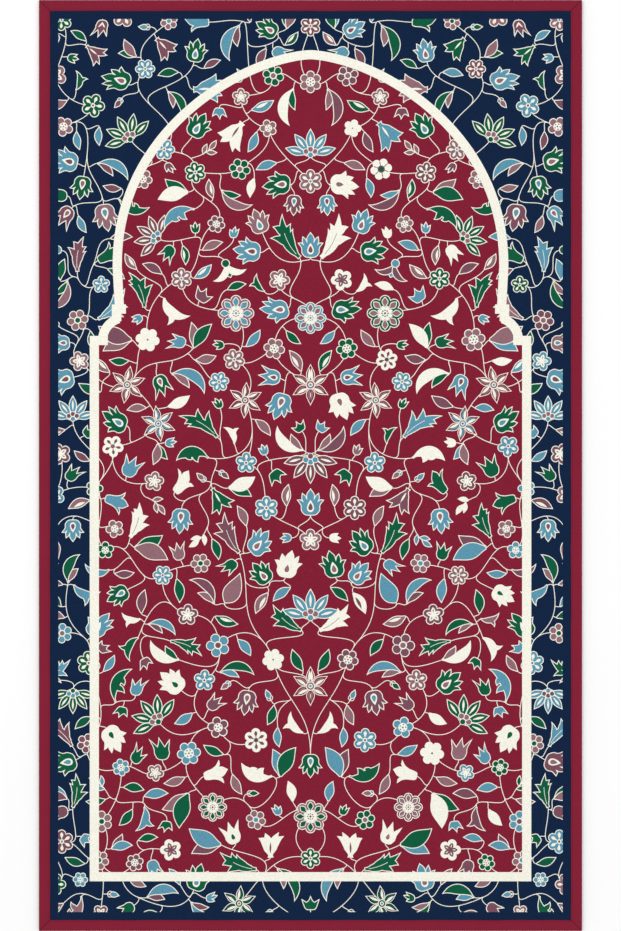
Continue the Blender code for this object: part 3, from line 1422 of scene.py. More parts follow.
def loops(outlines: list[Points]) -> tuple[Points, np.ndarray]:
    """Number the corners of closed outlines.

    Args:
        outlines: The outlines.

    Returns:
        All their corners, and the edges that join them, as pairs of numbers.
    """
    sizes = np.array([len(outline) for outline in outlines])
    starts = np.cumsum(sizes) - sizes
    number = np.arange(sizes.sum())
    following = number + 1
    following[starts + sizes - 1] = starts
    return np.concatenate(outlines), np.stack([number, following], 1)


@dataclass
class PileCut:
    """The pile's plane cut into triangles, each of one yarn: the left half, and its mirror image."""

    pattern: Pattern
    rim_rows: tuple[float, ...] = (0.06, 0.35, 0.8, 1.4, 2.2, 3.4)  # distances from the pile's edge, mm
    grid: float = 9.0  # spacing of the points in plain ground, mm
    grid_inset: float = 8.0
    near: float = 1.6  # no such point falls this close to the pattern's corners, mm
    on_axis: float = 5e-3  # corners closer than this to the middle line are moved onto it, mm
    batch: int = 4_000_000  # how many pairs of a point and an edge are compared at once

    def cut(self) -> dict[Yarn, tuple[Points, np.ndarray]]:
        """Cut the plane twice: along all outlines, and then along the lines where one yarn meets another.

        Returns:
            Each yarn's corners, in mm, and triangles over the whole rug.
        """
        painted = self.pattern.painted()
        points, triangles = triangulate(*loops([item.outline for item in painted] + [self._edge(0.0)]))
        pairs = self._paint(points[triangles].mean(1), painted)
        points, edges = self._seams(points, triangles, pairs)
        rim, rim_edges = loops([self._edge(inset) for inset in (0.0, *self.rim_rows)])
        edges = np.concatenate([edges, rim_edges + len(points)])
        points, triangles = triangulate(np.concatenate([points, rim, self._filler(points)]), edges)
        points[np.abs(points[:, 0]) < self.on_axis, 0] = 0.0
        kept = self._within(points[triangles].mean(1), 0.0)
        triangles = triangles[kept]
        pairs = self._paint(points[triangles].mean(1), painted)
        log.info("pattern: %d outlines, %d triangles on each half", len(painted), len(triangles))
        return {yarn: self._part(points, triangles, pairs == index) for index, yarn in enumerate(Yarn)}

    def _edge(self, inset: float) -> Points:
        """Return the outline of the left half of the pile, drawn in by an inset."""
        wide, long = [size - inset for size in self.pattern.half]
        return rectangle(-wide, 0.0, -long, long)

    def _within(self, points: Points, margin: float) -> np.ndarray:
        """Say of each point whether it lies on the left half of the pile or a margin round it."""
        (wide, long), x, y = self.pattern.half, points[:, 0] - margin, np.abs(points[:, 1]) - margin
        return (x < 0) & (x > -wide - 2 * margin) & (y < long)

    def _filler(self, points: Points) -> Points:
        """Make an even, staggered grid of points.

        Args:
            points: The pattern's corners.

        Returns:
            The grid, without the points that fall close to the pattern's corners.
        """
        (wide, long), right = [size - self.grid_inset for size in self.pattern.half], -self.grid_inset / 2
        x, y = np.arange(-wide, right, self.grid), np.arange(-long, long, self.grid * 0.87)
        grid = lattice(x, y)
        grid[:, 0] += np.repeat(np.arange(len(y)) % 2, len(x)) * self.grid / 2
        ground = FreeGround()
        for shift in self.near * np.array([(0, 0), (1, 0), (-1, 0), (0, 1), (0, -1)]):
            ground.take(points + shift)
        return grid[~ground.taken[ground.cells(grid)] & (grid[:, 0] < right)]

    def _paint(self, centres: Points, painted: list[Painted]) -> np.ndarray:
        """Give each triangle the yarns of the highest outline that its middle lies in.

        Args:
            centres: The triangles' middles.
            painted: Outlines, lowest first.

        Returns:
            For each triangle, the number of its left yarn, and of its right yarn.
        """
        yarns = list(Yarn)
        order = np.argsort(centres[:, 0])
        ranked = centres[order]
        pairs = np.full((len(centres), 2), yarns.index(Yarn.NAVY))
        for item in painted:
            low, high = item.outline.min(0), item.outline.max(0)
            first, last = np.searchsorted(ranked[:, 0], (low[0], high[0]))
            y = ranked[first:last, 1]
            rows = first + np.flatnonzero((y > low[1]) & (y < high[1]))
            for part in np.array_split(rows, 1 + len(rows) * len(item.outline) // self.batch):
                hit = part[winding(item.outline, ranked[part]) > 0]
                pairs[order[hit]] = (yarns.index(item.left), yarns.index(item.right))
        return pairs

    def _seams(self, points: Points, triangles: np.ndarray, pairs: np.ndarray) -> tuple[Points, np.ndarray]:
        """Keep only the edges where one yarn meets another on either half.

        Args:
            points: Corners of the triangles.
            triangles: Three corners each.
            pairs: Each triangle's two yarns.

        Returns:
            The corners on those edges, and the edges.
        """
        sides = np.sort(triangles[:, [[0, 1], [1, 2], [2, 0]]].reshape(-1, 2), axis=1)
        kind = np.repeat(pairs @ (len(Yarn), 1), 3)
        order = np.lexsort((sides[:, 1], sides[:, 0]))
        sides, kind = sides[order], kind[order]
        seams = sides[:-1][(sides[1:] == sides[:-1]).all(1) & (kind[1:] != kind[:-1])]
        seams = seams[self._within(points[seams].mean(1), 0.5)]
        used, renumbered = np.unique(seams, return_inverse=True)
        return points[used], renumbered.reshape(-1, 2)

    def _part(self, points: Points, triangles: np.ndarray, mine: np.ndarray) -> tuple[Points, np.ndarray]:
        """Take out one yarn's triangles on both halves, and join them along the middle line.

        Args:
            points: Corners of the triangles.
            triangles: Three corners each, on the left half.
            mine: Whether each has the yarn on the left half, and on the right.

        Returns:
            The yarn's corners and triangles.
        """
        left, right = triangles[mine[:, 0]], triangles[mine[:, 1]][:, ::-1]
        both = np.concatenate([points[left].reshape(-1, 2), points[right].reshape(-1, 2) * (-1, 1)])
        corners, faces = np.unique(np.round(both, 3) + 0.0, axis=0, return_inverse=True)
        faces = faces.reshape(-1, 3)
        return corners, faces[(faces != np.roll(faces, 1, 1)).all(1)]


# ---- Finishes ----


class Nodes:
    """A material's node tree, with short ways to add to it."""

    def __init__(self, name: str) -> None:
        """Make a material with an empty surface shader.

        Args:
            name: Name of the material.
        """
        self.material = bpy.data.materials.new(name)
        self.material.use_nodes = True
        self.tree = self.material.node_tree
        self.shader = self.tree.nodes["Principled BSDF"]

    def put(self, socket: Socket, value: object) -> None:
        """Set an input to a value, or link a socket to it.

        Args:
            socket: The input.
            value: A number, a colour or an output.
        """
        if isinstance(value, bpy.types.NodeSocket):
            self.tree.links.new(value, socket)
        else:
            socket.default_value = value

    def add(self, kind: str, settings: dict[str, object] | None = None, **inputs: object) -> bpy.types.Node:
        """Add a node.

        Args:
            kind: Its type, without the ShaderNode prefix.
            settings: Its own properties by name.
            **inputs: Values or sockets for its inputs, by name, with _ for a space.

        Returns:
            The node.
        """
        node = self.tree.nodes.new("ShaderNode" + kind)
        for name, value in (settings or {}).items():
            setattr(node, name, value)
        for name, value in inputs.items():
            self.put(node.inputs[name.replace("_", " ")], value)
        return node

    def maths(self, operation: str, *values: object) -> Socket:
        """Work out a sum, product or other operation.

        Args:
            operation: Its name.
            *values: Numbers or sockets.

        Returns:
            The result.
        """
        node = self.add("Math", {"operation": operation})
        for socket, value in zip(node.inputs, values):
            self.put(socket, value)
        return node.outputs[0]

    def total(self, start: object, *terms: tuple[object, float]) -> Socket:
        """Add up values.

        Args:
            start: The first value.
            *terms: Each further value, and the share of it that is added.

        Returns:
            The sum.
        """
        for value, share in terms:
            start = self.maths("MULTIPLY_ADD", value, share, start)
        return start

    def wave(self, along: Socket, length: float, shift: object = 0.0) -> Socket:
        """Return a sine wave of a length, from -1 to 1."""
        return self.maths("SINE", self.maths("MULTIPLY_ADD", along, 2 * pi / length, shift))

    def place(self, scale: Colour = (1.0, 1.0, 1.0), uv: str = "") -> Socket:
        """Give the surface's own coordinates, or those of a UV map.

        Args:
            scale: How far they are stretched.
            uv: Name of the UV map.

        Returns:
            The coordinates.
        """
        node = self.add("UVMap", {"uv_map": uv}) if uv else self.add("TexCoord")
        source = node.outputs["UV" if uv else "Object"]
        return self.add("Mapping", Vector=source, Scale=scale).outputs[0]

    def noise(self, where: Socket, scale: float, detail: float = 2.0) -> Socket:
        """Return a cloudy value from 0 to 1."""
        return self.add("TexNoise", Vector=where, Scale=scale, Detail=detail).outputs[0]

    def mix(self, factor: object, first: object, second: object, blend: str = "MIX") -> Socket:
        """Mix two colours.

        Args:
            factor: How much of the second is taken.
            first: A colour or a socket.
            second: The same.
            blend: The way of mixing.

        Returns:
            The mixed colour.
        """
        node = self.add("Mix", {"data_type": "RGBA", "blend_type": blend}, Factor=factor)
        self.put(node.inputs[6], first)
        self.put(node.inputs[7], second)
        return node.outputs[2]

    def shade(self, colour: Colour, amount: Socket) -> Socket:
        """Return a colour made lighter or darker by an amount about 1."""
        grey = self.add("CombineColor", Red=amount, Green=amount, Blue=amount).outputs[0]
        return self.mix(1.0, (*colour, 1.0), grey, "MULTIPLY")


@dataclass(frozen=True)
class Finish(ABC):
    """What all finishes share. Their lengths are in metres."""

    name: str = "finish"
    colour: Colour = (0.8, 0.8, 0.8)
    roughness: float = 0.9
    gloss: float = 0.1
    sheen: float = 0.0
    sheen_roughness: float = 0.35
    relief: float = 0.0
    relief_depth: float = 0.1 * MM

    @abstractmethod
    def pattern(self, nodes: Nodes) -> tuple[Socket, Socket]:
        """Return how light the colour is, about 1, and the height of the relief."""

    def tint(self, nodes: Nodes, amount: Socket) -> Socket:
        """Return the colour over the surface."""
        return nodes.shade(self.colour, amount)

    def material(self) -> bpy.types.Material:
        """Put the material together.

        Returns:
            The material.
        """
        nodes = Nodes(self.name)
        amount, height = self.pattern(nodes)
        if self.relief:
            bump = nodes.add("Bump", Strength=self.relief, Distance=self.relief_depth, Height=height)
            nodes.put(nodes.shader.inputs["Normal"], bump.outputs[0])
        for socket, value in (
            ("Base Color", self.tint(nodes, amount)),
            ("Roughness", self.roughness),
            ("Specular IOR Level", self.gloss),
            ("Sheen Weight", self.sheen),
            ("Sheen Roughness", self.sheen_roughness),
        ):
            nodes.put(nodes.shader.inputs[socket], value)
        return nodes.material


@dataclass(frozen=True)
class PileFinish(Finish):
    """Cut pile: tufts in rows, each a little lighter or darker, with broad soft shading and painted shade
    between the tufts.
    """

    roughness: float = 0.95
    gloss: float = 0.06
    sheen: float = 0.06
    relief: float = 0.9
    relief_depth: float = 0.6 * MM
    tuft: float = 1.0 * MM
    uneven: float = 0.4  # how far the tufts stray from even rows, from 0 to 1
    tuft_shade: float = 0.2
    row_shade: float = 0.06
    broad_shade: float = 0.07
    painted_hollow_shade: float = 0.8  # painted shade: how much darker the colour is between the tufts
    mean_dome: float = 0.82

    def pattern(self, nodes: Nodes) -> tuple[Socket, Socket]:
        """Lay tufts as the cells of a slightly uneven lattice, each domed as ``1 - d^2`` in relief and in
        painted shade, with fine fibres.

        Args:
            nodes: The material's nodes.

        Returns:
            The amount of light and the height.
        """
        where = nodes.place((1.0, 1.0, 0.0))
        tufts = nodes.add("TexVoronoi", Vector=where, Scale=1.0 / self.tuft, Randomness=self.uneven)
        apart = tufts.outputs["Distance"]
        dome = nodes.maths("SUBTRACT", 1.0, nodes.maths("MULTIPLY", apart, apart))
        shades = self.tuft_shade + self.row_shade + self.broad_shade
        amount = nodes.total(
            1.0 - shades / 2 - self.painted_hollow_shade * self.mean_dome,
            (tufts.outputs["Color"], self.tuft_shade),
            (nodes.noise(nodes.place((14.0, 520.0, 0.0)), 1.0, 1.0), self.row_shade),
            (nodes.noise(where, 9.0, 3.0), self.broad_shade),
            # painted shade: the colour is lighter on each tuft's dome and darker between the tufts
            (dome, self.painted_hollow_shade),
        )
        return amount, nodes.total(dome, (nodes.noise(where, 4200.0), 0.5))


@dataclass(frozen=True)
class TapeFinish(Finish):
    """Ribbed woven tape: fine ribs across it and finer threads along it, on the tape's own map in metres."""

    name: str = "binding_tape"
    colour: Colour = (0.213, 0.0095, 0.0305)
    roughness: float = 0.72
    gloss: float = 0.12
    sheen: float = 0.06
    relief: float = 0.35
    relief_depth: float = 0.12 * MM
    rib: float = 0.75 * MM
    thread: float = 0.3 * MM

    def pattern(self, nodes: Nodes) -> tuple[Socket, Socket]:
        """Weave as the sum of a wave along the tape, which wobbles a little, and one across it, in relief and
        in painted shade.

        Args:
            nodes: The material's nodes.

        Returns:
            The amount of light and the height.
        """
        where = nodes.place(uv="tape")
        split = nodes.add("SeparateXYZ", Vector=where)
        wobble = nodes.maths("MULTIPLY", nodes.noise(where, 160.0), 0.9)
        ribs = nodes.wave(split.outputs[0], self.rib, wobble)
        threads = nodes.wave(split.outputs[1], self.thread)
        weave = nodes.total(ribs, (threads, 0.35))
        # painted shade: the colour is a little lighter on the ribs and threads and darker between them, over
        # a cloudy tone
        return nodes.total(0.92, (nodes.noise(where, 22.0, 3.0), 0.16), (weave, 0.035)), weave


@dataclass(frozen=True)
class BackFinish(Finish):
    """The flat weave: small ridges in yarn that is undyed below, and dyed where the pile is knotted in."""

    name: str = "woven_back"
    colour: Colour = (0.56, 0.50, 0.40)
    relief: float = 0.5
    relief_depth: float = 0.25 * MM
    dyed: Colour = (0.008, 0.02, 0.055)
    dyed_above: float = 3.6 * MM
    row: float = 1.6 * MM
    stitch: float = 1.1 * MM

    def pattern(self, nodes: Nodes) -> tuple[Socket, Socket]:
        """Weave ridges as the sum of one wave along the rug and one across it, in relief and in painted
        shade, with uneven yarn.

        Args:
            nodes: The material's nodes.

        Returns:
            The amount of light and the height.
        """
        split = nodes.add("SeparateXYZ", Vector=nodes.place())
        rows, stitches = nodes.wave(split.outputs[1], self.row), nodes.wave(split.outputs[0], self.stitch)
        knots = nodes.total(rows, (stitches, 0.5))
        slubs = nodes.noise(nodes.place((40.0, 420.0, 40.0)), 1.0)
        # painted shade: lighter on the ridges of rows and stitches and darker between them; the slubs are the
        # yarn's uneven tone
        return nodes.total(0.85, (knots, 0.06), (slubs, 0.22)), nodes.maths("ADD", knots, slubs)

    def tint(self, nodes: Nodes, amount: Socket) -> Socket:
        """Change from the undyed to the dyed yarn at its height.

        Args:
            nodes: The material's nodes.
            amount: How light the undyed yarn is.

        Returns:
            The colour.
        """
        height = nodes.add("SeparateXYZ", Vector=nodes.place()).outputs[2]
        above = nodes.maths("GREATER_THAN", height, self.dyed_above)
        return nodes.mix(above, nodes.shade(self.colour, amount), (*self.dyed, 1.0))


@dataclass(frozen=True)
class ThreadFinish(Finish):
    """Twisted sewing thread, a shade darker than the tape."""

    name: str = "sewing_thread"
    colour: Colour = (0.19, 0.012, 0.03)
    roughness: float = 0.6
    gloss: float = 0.15
    relief: float = 0.4
    relief_depth: float = 0.05 * MM

    def pattern(self, nodes: Nodes) -> tuple[Socket, Socket]:
        """Lay slanting plies as a fine wave over the thread, in relief and in painted shade.

        Args:
            nodes: The material's nodes.

        Returns:
            The amount of light and the height.
        """
        settings = {"bands_direction": "DIAGONAL"}
        plies = nodes.add("TexWave", settings, Vector=nodes.place(), Scale=700.0, Distortion=1.0).outputs[1]
        # painted shade: the plies are lighter on their crests and darker in the grooves between them
        return nodes.total(0.85, (plies, 0.25)), plies


@dataclass(frozen=True)
class FloorFinish(Finish):
    """A plain pale floor, with the faintest clouding."""

    name: str = "pale_floor"
    colour: Colour = (0.92, 0.92, 0.92)
    roughness: float = 0.8

    def pattern(self, nodes: Nodes) -> tuple[Socket, Socket]:
        """Return the clouding, and no relief to speak of."""
        cloud = nodes.noise(nodes.place(), 3.0)
        return nodes.total(0.995, (cloud, 0.01)), cloud


# ---- Meshes ----


def add_object(name: str, data: bpy.types.ID, place: Colour = (0.0, 0.0, 0.0)) -> bpy.types.Object:
    """Put an object into the scene.

    Args:
        name: Its name.
        data: Its mesh, light or camera.
        place: Where it is, in metres.

    Returns:
        The object.
    """
    made = bpy.data.objects.new(name, data)
    made.location = place
    bpy.context.scene.collection.objects.link(made)
    return made


def add_mesh(
    name: str, points: Points, faces: np.ndarray, finish: Finish, maps: dict[str, Points], rides: bool = True
) -> bpy.types.Object:
    """Put a surface into the scene, and a piece of the rug on the frame's one body.

    Args:
        name: Name of the object.
        points: Its points, in metres.
        faces: Its faces, all with the same number of corners.
        finish: What it is made of; it has the name of the piece's material slot in the record.
        maps: UV maps by name, with a row for every point, or else for every corner of every face.
        rides: Whether it is a piece of the rug.

    Returns:
        The object, at the origin and smooth.
    """
    mesh = bpy.data.meshes.new(name)
    mesh.from_pydata(points.tolist(), [], faces.tolist())
    mesh.polygons.foreach_set("use_smooth", np.ones(len(mesh.polygons), bool))
    for map_name, values in maps.items():
        by_corner = values[faces.ravel()] if len(values) == len(points) else values
        mesh.uv_layers.new(name=map_name).data.foreach_set("uv", by_corner.ravel())
    mesh.update()
    mesh.materials.append(finish.material())
    made = add_object(name, mesh)
    if rides:
        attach(made, "root")
        log.info("piece %s: %d points, %d faces", name, len(points), len(faces))
    return made


def strip_faces(rows: int, columns: int, closed: bool = False) -> np.ndarray:
    """Return the four-cornered faces of a grid of points, numbered row by row.

    Args:
        rows: Rows of points.
        columns: Points in a row.
        closed: Whether the last column joins the first.

    Returns:
        The faces.
    """
    across = np.arange(columns if closed else columns - 1)
    row = np.arange(rows - 1)[:, None] * columns
    following = (across + 1) % columns
    corners = [row + across, row + following, row + columns + following, row + columns + across]
    return np.stack(corners, -1).reshape(-1, 4)


class Side(Enum):
    """The four edges: the turn of the outward side from +X, in degrees."""

    RIGHT = 0.0
    HEAD = 90.0
    LEFT = 180.0
    FOOT = 270.0

    def place(self, out: np.ndarray, along: np.ndarray) -> list[np.ndarray]:
        """Return the x and y of places so far out from the rug's middle, and so far along this edge."""
        cosine, sine = np.cos(radians(self.value)), np.sin(radians(self.value))
        return [out * cosine - along * sine, out * sine + along * cosine]


@dataclass(frozen=True)
class RugSize:
    """The rug's sizes, read from the frame, in metres."""

    half: tuple[float, float]  # half its width and length
    pile_top: float
    tape_top: float
    tape_face: float
    rim_inset: float
    gap: float = 0.3 * MM  # between the tape and the pile

    @classmethod
    def from_frame(cls) -> "RugSize":
        """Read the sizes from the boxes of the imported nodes."""
        rug, head, (low, high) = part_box("rug")[1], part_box("binding_head")[1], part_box("binding_right")
        return cls((high[0], head[1]), rug[2], high[2], high[0] - low[0], high[0] - rug[0])

    @property
    def pile_inset(self) -> float:
        """Distance from the rug's edge to the pile."""
        return self.tape_face + self.gap

    def reach(self, side: Side) -> tuple[float, float]:
        """Return how far out an edge is from the rug's middle, and half its length."""
        return self.half if side in (Side.RIGHT, Side.LEFT) else self.half[::-1]

    def flat_map(self, points: Points) -> Points:
        """Return places over the rug as shares of its width and length."""
        return points[:, :2] / (2 * np.array(self.half)) + 0.5


# ---- The pieces of the rug ----


@dataclass
class Pile:
    """The cut pile, in one piece for each yarn."""

    size: RugSize
    rim_drop: float = 1.2 * MM  # how much lower the pile is at its edge
    rim_round: float = 2.4 * MM
    side: float = 1.0 * MM  # height of the upright side under the rounding
    swell: float = 0.1 * MM  # unevenness of a rug that lies on a floor
    calm: float = 30.0 * MM  # width of the edge where the swells die down

    PALE = {"tuft_shade": 0.12, "painted_hollow_shade": 0.5}  # light passes on from tuft to tuft in pale pile, so its painted shade between the tufts is fainter

    def build(self) -> list[bpy.types.Object]:
        """Cut the pattern and make its pieces.

        Returns:
            The pieces.
        """
        wide, long = [(size - self.size.pile_inset) / MM for size in self.size.half]
        pattern = Pattern((wide, long))
        made = []
        for yarn, (corners, faces) in PileCut(pattern).cut().items():
            name, places = f"pile_{yarn.name.lower()}", corners * MM
            points = np.column_stack([places, self._height(places)])
            finish = PileFinish(name, yarn.value, **(self.PALE if yarn is Yarn.CREAM else {}))
            made.append(add_mesh(name, points, faces, finish, {"OFBake": self.size.flat_map(points)}))
        return made

    def _height(self, places: Points) -> np.ndarray:
        """Work out the pile's height.

        It is the pile's top less a quarter round at the rim, with low swells that are sums of long sine
        waves. The outermost points stand at the foot of the pile's side.

        Args:
            places: Points on the rug, in metres.

        Returns:
            Their heights.
        """
        edge = (np.array(self.size.half) - self.size.pile_inset - np.abs(places)).min(1)
        near = np.clip(1 - edge / self.rim_round, 0, 1)
        drop = self.rim_drop * (1 - np.sqrt(np.clip(1 - near**2, 0, 1)))
        x, y = places.T
        waves = np.sin(19 * x + 7 * y) + np.sin(-11 * x + 16 * y + 1.3) + 0.6 * np.sin(37 * x + 29 * y + 0.4)
        low = self.swell * np.clip(edge / self.calm, 0, 1) * (2.6 - waves) / 2.6
        foot = self.size.pile_top - self.rim_drop - self.side
        return np.where(edge < 0.03 * MM, foot, self.size.pile_top - drop - low)


@dataclass
class WovenBack:
    """The cloth under the pile: a slab with a thin rim that runs into the folded tape, closed all round."""

    size: RugSize
    under_pile: float = 0.45 * MM  # how far its top lies under the tips of the pile
    rim_bottom: float = 1.1 * MM
    rim_top: float = 4.1 * MM
    columns: int = 60
    rows: int = 100

    def build(self) -> bpy.types.Object:
        """Make the cloth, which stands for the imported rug.

        The top and the underside are two heights over one grid, each a section by the distance from the
        rug's edge, and they share the grid's outermost points.

        Returns:
            The piece.
        """
        top, under = self._sections()
        insets = np.union1d(top[:, 0], under[:, 0])
        wide, long = self.size.half
        x, y = self._lines(wide - insets, self.columns), self._lines(long - insets, self.rows)
        across, along = np.meshgrid(x, y)
        inset = np.minimum(wide - np.abs(across), long - np.abs(along))
        heights = [np.interp(inset, *section.T) for section in (top, under)]
        sheets = [np.stack([across, along, height], -1).reshape(-1, 3) for height in heights]
        number = np.arange(across.size).reshape(across.shape)
        below = number + across.size
        below[[0, -1]], below[:, [0, -1]] = number[[0, -1]], number[:, [0, -1]]
        squares = strip_faces(*across.shape)
        faces = np.concatenate([squares, below.ravel()[squares][:, ::-1]])
        used, faces = np.unique(faces, return_inverse=True)
        points, faces = np.concatenate(sheets)[used], faces.reshape(-1, 4)
        flat = self.size.flat_map(points)[faces.ravel()] * (0.49, 1.0)
        flat[: squares.size, 0] += 0.51  # the top lies beside the underside
        made = add_mesh("woven_back", points, faces, BackFinish(), {"OFBake": flat})
        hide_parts("rug")
        return made

    def _sections(self) -> tuple[Points, Points]:
        """Work out the cloth's section: a half round nose in the tape, then a step up and down to its faces.

        Returns:
            The top and the underside, as rows of the distance from the rug's edge and the height.
        """
        inset = self.size.pile_inset + 0.1 * MM
        high = self.size.pile_top - self.under_pile
        middle, radius = (self.rim_bottom + self.rim_top) / 2, (self.rim_top - self.rim_bottom) / 2
        angle = np.linspace(0, pi / 2, 4)
        nose = self.size.rim_inset + radius * (1 - np.cos(angle))
        top = [(inset, self.rim_top), (inset + 0.3 * MM, high - 1.2 * MM), (inset + 3.0 * MM, high)]
        under = [(inset, self.rim_bottom), (inset + 0.1 * MM, 0.25 * MM), (inset + 0.6 * MM, 0.0)]
        rise = radius * np.sin(angle)
        return (
            np.concatenate([np.column_stack([nose, middle + rise]), top]),
            np.concatenate([np.column_stack([nose, middle - rise]), under]),
        )

    def _lines(self, edges: np.ndarray, count: int) -> np.ndarray:
        """Return a grid's lines: those near the edges on both sides, and count even steps between them."""
        return np.concatenate([-edges[:-1], np.linspace(-edges[-1], edges[-1], count + 1), edges[-2::-1]])


@dataclass
class Binding:
    """One length of tape, folded over an edge and mitred at both ends."""

    size: RugSize
    side: Side
    thickness: float = 0.8 * MM
    groove: float = 0.22 * MM  # how deep the sewing draws the tape in
    groove_inset: float = 12.4 * MM
    groove_width: float = 0.55 * MM
    ripple: float = 0.22 * MM  # unevenness of the tape's inner edges
    ripple_from: float = 8.0 * MM
    ripple_full: float = 14.0 * MM
    step: float = 2.2 * MM
    mitre_gap: float = 0.2 * MM

    def build(self) -> bpy.types.Object:
        """Carry the folded section along the edge, to the mitres, and close the ends.

        Returns:
            The tape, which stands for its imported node.
        """
        reach, half = self.size.reach(self.side)
        inset, height, across = self._section()
        count, columns = int(2 * half / self.step), len(inset) - 1
        along = np.linspace(-1, 1, count + 1)[:, None] * (half - inset[None] - self.mitre_gap)
        far = along + 3.7 * (1 + list(Side).index(self.side))
        wave = (np.sin(far * 53) + np.sin(far * 121 + 1.0) * 0.6 + np.sin(far * 311 + 2.0) * 0.35) / 1.95
        edge = np.clip((inset - self.ripple_from) / (self.ripple_full - self.ripple_from), 0, 1)
        out = reach - (inset + self.ripple * wave * edge**3)
        up, around = np.broadcast_to(height, along.shape), np.broadcast_to(across, along.shape)
        points = np.stack([*self.side.place(out, along), up], -1)[:, :-1].reshape(-1, 3)
        near = np.arange(columns // 2 - 1)
        end = np.stack([near, columns - 1 - near, columns - 2 - near, near + 1], 1)
        ends = np.concatenate([end, (end + count * (columns + 1))[:, ::-1]])
        numbers = np.concatenate([strip_faces(count + 1, columns + 1), ends])[:, ::-1]
        row, column = np.divmod(numbers, columns + 1)
        flat = np.stack([along, around], -1).reshape(-1, 2)[numbers.ravel()]
        sheet = (2 * half, 1.15 * across[-1])  # the two cut ends lie beside the rest of the map
        cut = np.stack([inset, height], 1)[column.ravel()[-ends.size :]] / sheet
        bake = flat / sheet + (0.5, 0.0)
        bake[-ends.size :] = cut + np.repeat([(0.1, 0.9), (0.6, 0.9)], ends.size // 2, axis=0)
        maps = {"tape": flat + (self.side.value / 90 * 0.37, 0.0), "OFBake": bake}
        name = self.side.name.lower()
        made = add_mesh(f"tape_{name}", points, row * columns + column % columns, TapeFinish(), maps)
        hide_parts(f"binding_{name}")
        return made

    def _section(self) -> tuple[np.ndarray, np.ndarray, np.ndarray]:
        """Work out the closed section of the folded tape.

        It is the line in over the rug, round the fold and in under it, moved out and in by half the
        thickness. A dip of the form ``exp(-(d/w)^2)`` marks the row of sewing above and below.

        Returns:
            Inset from the rug's edge, height, and distance round the section, with the first point again
            at the end.
        """
        centre, face = self.size.tape_top / 2, self.size.tape_face
        radius = centre - self.thickness / 2
        by_groove = self.groove_inset + np.array([1.0, 0.55, 0.25, 0.0, -0.25, -0.55, -1.1]) * MM
        flat = np.array([face, face - 0.5 * MM, *by_groove, 9.5 * MM, 6.0 * MM])
        angles = np.linspace(pi / 2, -pi / 2, 11)
        level = np.ones(len(flat))
        inset = np.concatenate([flat, centre - radius * np.cos(angles), flat[::-1]])
        rise = np.concatenate([level, np.sin(angles), -level])
        outward = np.concatenate([0 * level, np.cos(angles), 0 * level])
        off_groove = (inset - self.groove_inset) / self.groove_width
        dip = self.groove * np.exp(-(off_groove**2)) * (inset > centre)
        half = self.thickness / 2
        thick = half * rise
        thick[[0, -1]] /= 2  # the cut edges are rounded off
        middle = centre + radius * rise - dip * np.sign(rise)
        upper = np.stack([inset - half * outward, middle + thick], 1)
        lower = np.stack([inset + half * outward, middle - thick], 1)
        line = np.concatenate([upper, lower[::-1], upper[:1]])
        steps = np.linalg.norm(np.diff(line, axis=0), axis=1)
        return line[:, 0], line[:, 1], np.concatenate([[0.0], np.cumsum(steps)])


@dataclass
class Sewing:
    """The rows of stitches that hold the tape, above and below, as one piece of joined short threads."""

    size: RugSize
    inset: float = 12.4 * MM
    pitch: float = 3.6 * MM
    length: float = 2.7 * MM
    radius: float = 0.22 * MM
    sunk: float = 0.14 * MM  # how far the thread's middle lies in from the tape's face
    lift: float = 0.01 * MM  # of the lower row from the floor
    crooked: float = 0.03  # usual turn of a stitch off its row, in radians
    seed: int = 5

    def build(self) -> bpy.types.Object:
        """Make all the stitches: one thread, turned and moved to each place.

        Returns:
            The piece.
        """
        places, headings, levels = self._places()
        shape, faces = self._stitch()
        turn = headings + np.random.default_rng(self.seed).normal(0, self.crooked, len(places))
        cosine, sine = np.cos(turn)[:, None], np.sin(turn)[:, None]
        x = places[:, :1] + shape[:, 0] * cosine - shape[:, 1] * sine
        y = places[:, 1:] + shape[:, 0] * sine + shape[:, 1] * cosine
        points = np.stack([x, y, levels[:, None] + 0 * x + shape[:, 2]], -1).reshape(-1, 3)
        joined = (faces + (np.arange(len(places)) * len(shape))[:, None, None]).reshape(-1, faces.shape[1])
        maps = {"OFBake": self.size.flat_map(points)}
        return add_mesh("sewing_thread", points, joined, ThreadFinish(), maps)

    def _places(self) -> tuple[Points, np.ndarray, np.ndarray]:
        """Set out the stitches along each edge, above and then below.

        Returns:
            The middle, heading and height of every stitch.
        """
        middles, headings = [], []
        for side in Side:
            reach, half = (size - self.inset for size in self.size.reach(side))
            along = np.arange(-half + self.pitch, half - self.pitch / 2, self.pitch)
            middles.append(np.stack(side.place(reach, along), 1))
            headings.append(np.full(len(along), radians(side.value) + pi / 2))
        row, heading = np.concatenate(middles), np.concatenate(headings)
        levels = np.repeat([self.size.tape_top - self.sunk, self.radius + self.lift], len(row))
        return np.concatenate([row, row]), np.concatenate([heading, heading]), levels

    def _stitch(self) -> tuple[Points, np.ndarray]:
        """Carry a circle of six points along +X, small at both ends.

        Returns:
            The points and faces of one stitch.
        """
        around = np.arange(6) * pi / 3
        along = np.array([-0.5, -0.4, 0.0, 0.4, 0.5]) * self.length
        radius = np.array([0.4, 0.95, 1.0, 0.95, 0.4])[:, None] * self.radius
        y, z = (radius * np.cos(around)).ravel(), (radius * np.sin(around)).ravel()
        caps = np.array([[0, 1, 2, 3], [0, 3, 4, 5], [27, 26, 25, 24], [29, 28, 27, 24]])
        faces = np.concatenate([strip_faces(5, 6, closed=True)[:, ::-1], caps])
        return np.stack([np.repeat(along, 6), y, z], 1), faces


# ---- Floor, light and camera ----


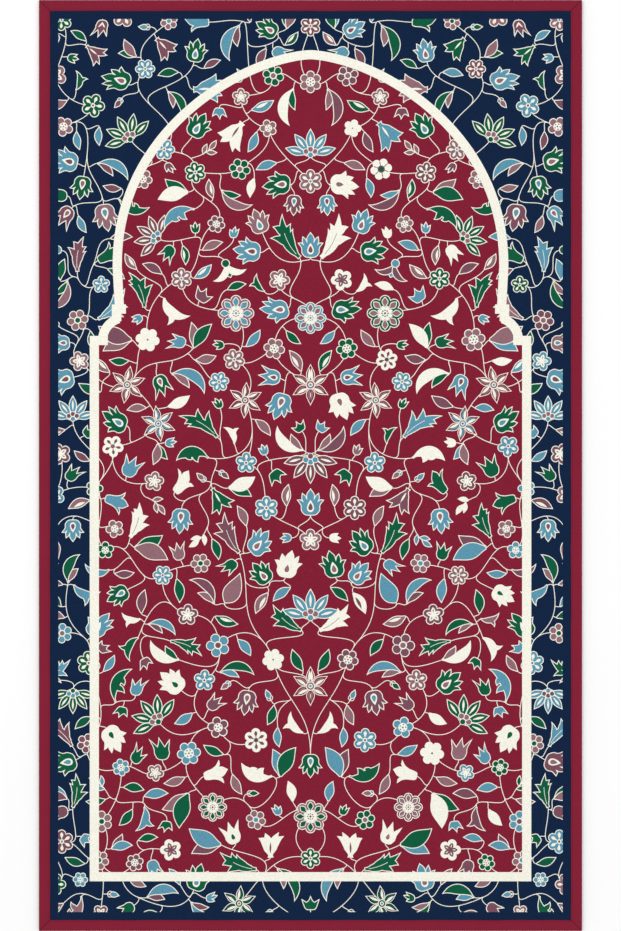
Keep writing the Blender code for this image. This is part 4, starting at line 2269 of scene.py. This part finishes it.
@dataclass
class Studio:
    """A pale floor, soft light, and the camera straight above the rug."""

    size: RugSize
    lens: float = 100.0  # mm
    sensor: float = 36.0  # mm
    see_to: float = 50.0
    floor_side: float = 30.0
    floor_drop: float = 0.2 * MM
    room_light: float = 0.86
    key: tuple[Colour, float, float] = ((-1.6, 1.9, 2.6), 2.2, 30.5)  # place, side in m and power in W
    fill: tuple[Colour, float, float] = ((1.9, -1.4, 3.0), 2.6, 17.0)

    def build(self) -> bpy.types.Object:
        """Light the room, hang two square soft lights that face the rug's middle, and make the rest.

        Returns:
            The floor, just under the rug's underside.
        """
        self._world()
        for name, (place, side, power) in {"key": self.key, "fill": self.fill}.items():
            data = bpy.data.lights.new(name, "AREA")
            data.shape = "SQUARE"
            data.size = side
            data.energy = power
            light = add_object(name, data, place)
            light.rotation_euler = (-light.location).to_track_quat("-Z", "Y").to_euler()
        self._camera()
        line = np.linspace(-self.floor_side / 2, self.floor_side / 2, 9)
        points = np.insert(lattice(line, line), 2, -self.floor_drop, axis=1)
        floor = add_mesh("floor", points, strip_faces(9, 9), FloorFinish(), {}, rides=False)
        return floor

    def _world(self) -> None:
        """Light everything evenly from all round."""
        world = bpy.data.worlds.new("soft_room")
        world.use_nodes = True
        background = world.node_tree.nodes["Background"]
        background.inputs["Color"].default_value = (1.0, 1.0, 1.0, 1.0)
        background.inputs["Strength"].default_value = self.room_light
        bpy.context.scene.world = world
        bpy.context.scene.view_settings.view_transform = "Standard"

    def _camera(self) -> None:
        """Look straight down from where the rug's length just fills the picture's height."""
        data = bpy.data.cameras.new("camera")
        data.lens = self.lens
        data.sensor_width = self.sensor
        data.clip_end = self.see_to
        distance = 2 * self.size.half[1] * self.lens / self.sensor
        place = (0.0, 0.0, self.size.tape_top / 2 + distance)
        bpy.context.scene.camera = add_object("camera", data, place)


def write_sizes() -> None:
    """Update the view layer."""
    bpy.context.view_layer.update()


def main() -> None:
    logging.basicConfig(level=logging.INFO, format="%(message)s")
    size = RugSize.from_frame()
    log.info("rug: %s", size)
    floor = Studio(size).build()
    back = WovenBack(size).build()
    pile = Pile(size).build()
    tapes = [Binding(size, side).build() for side in Side]
    thread = Sewing(size).build()
    write_sizes()


if __name__ == "__main__":
    main()
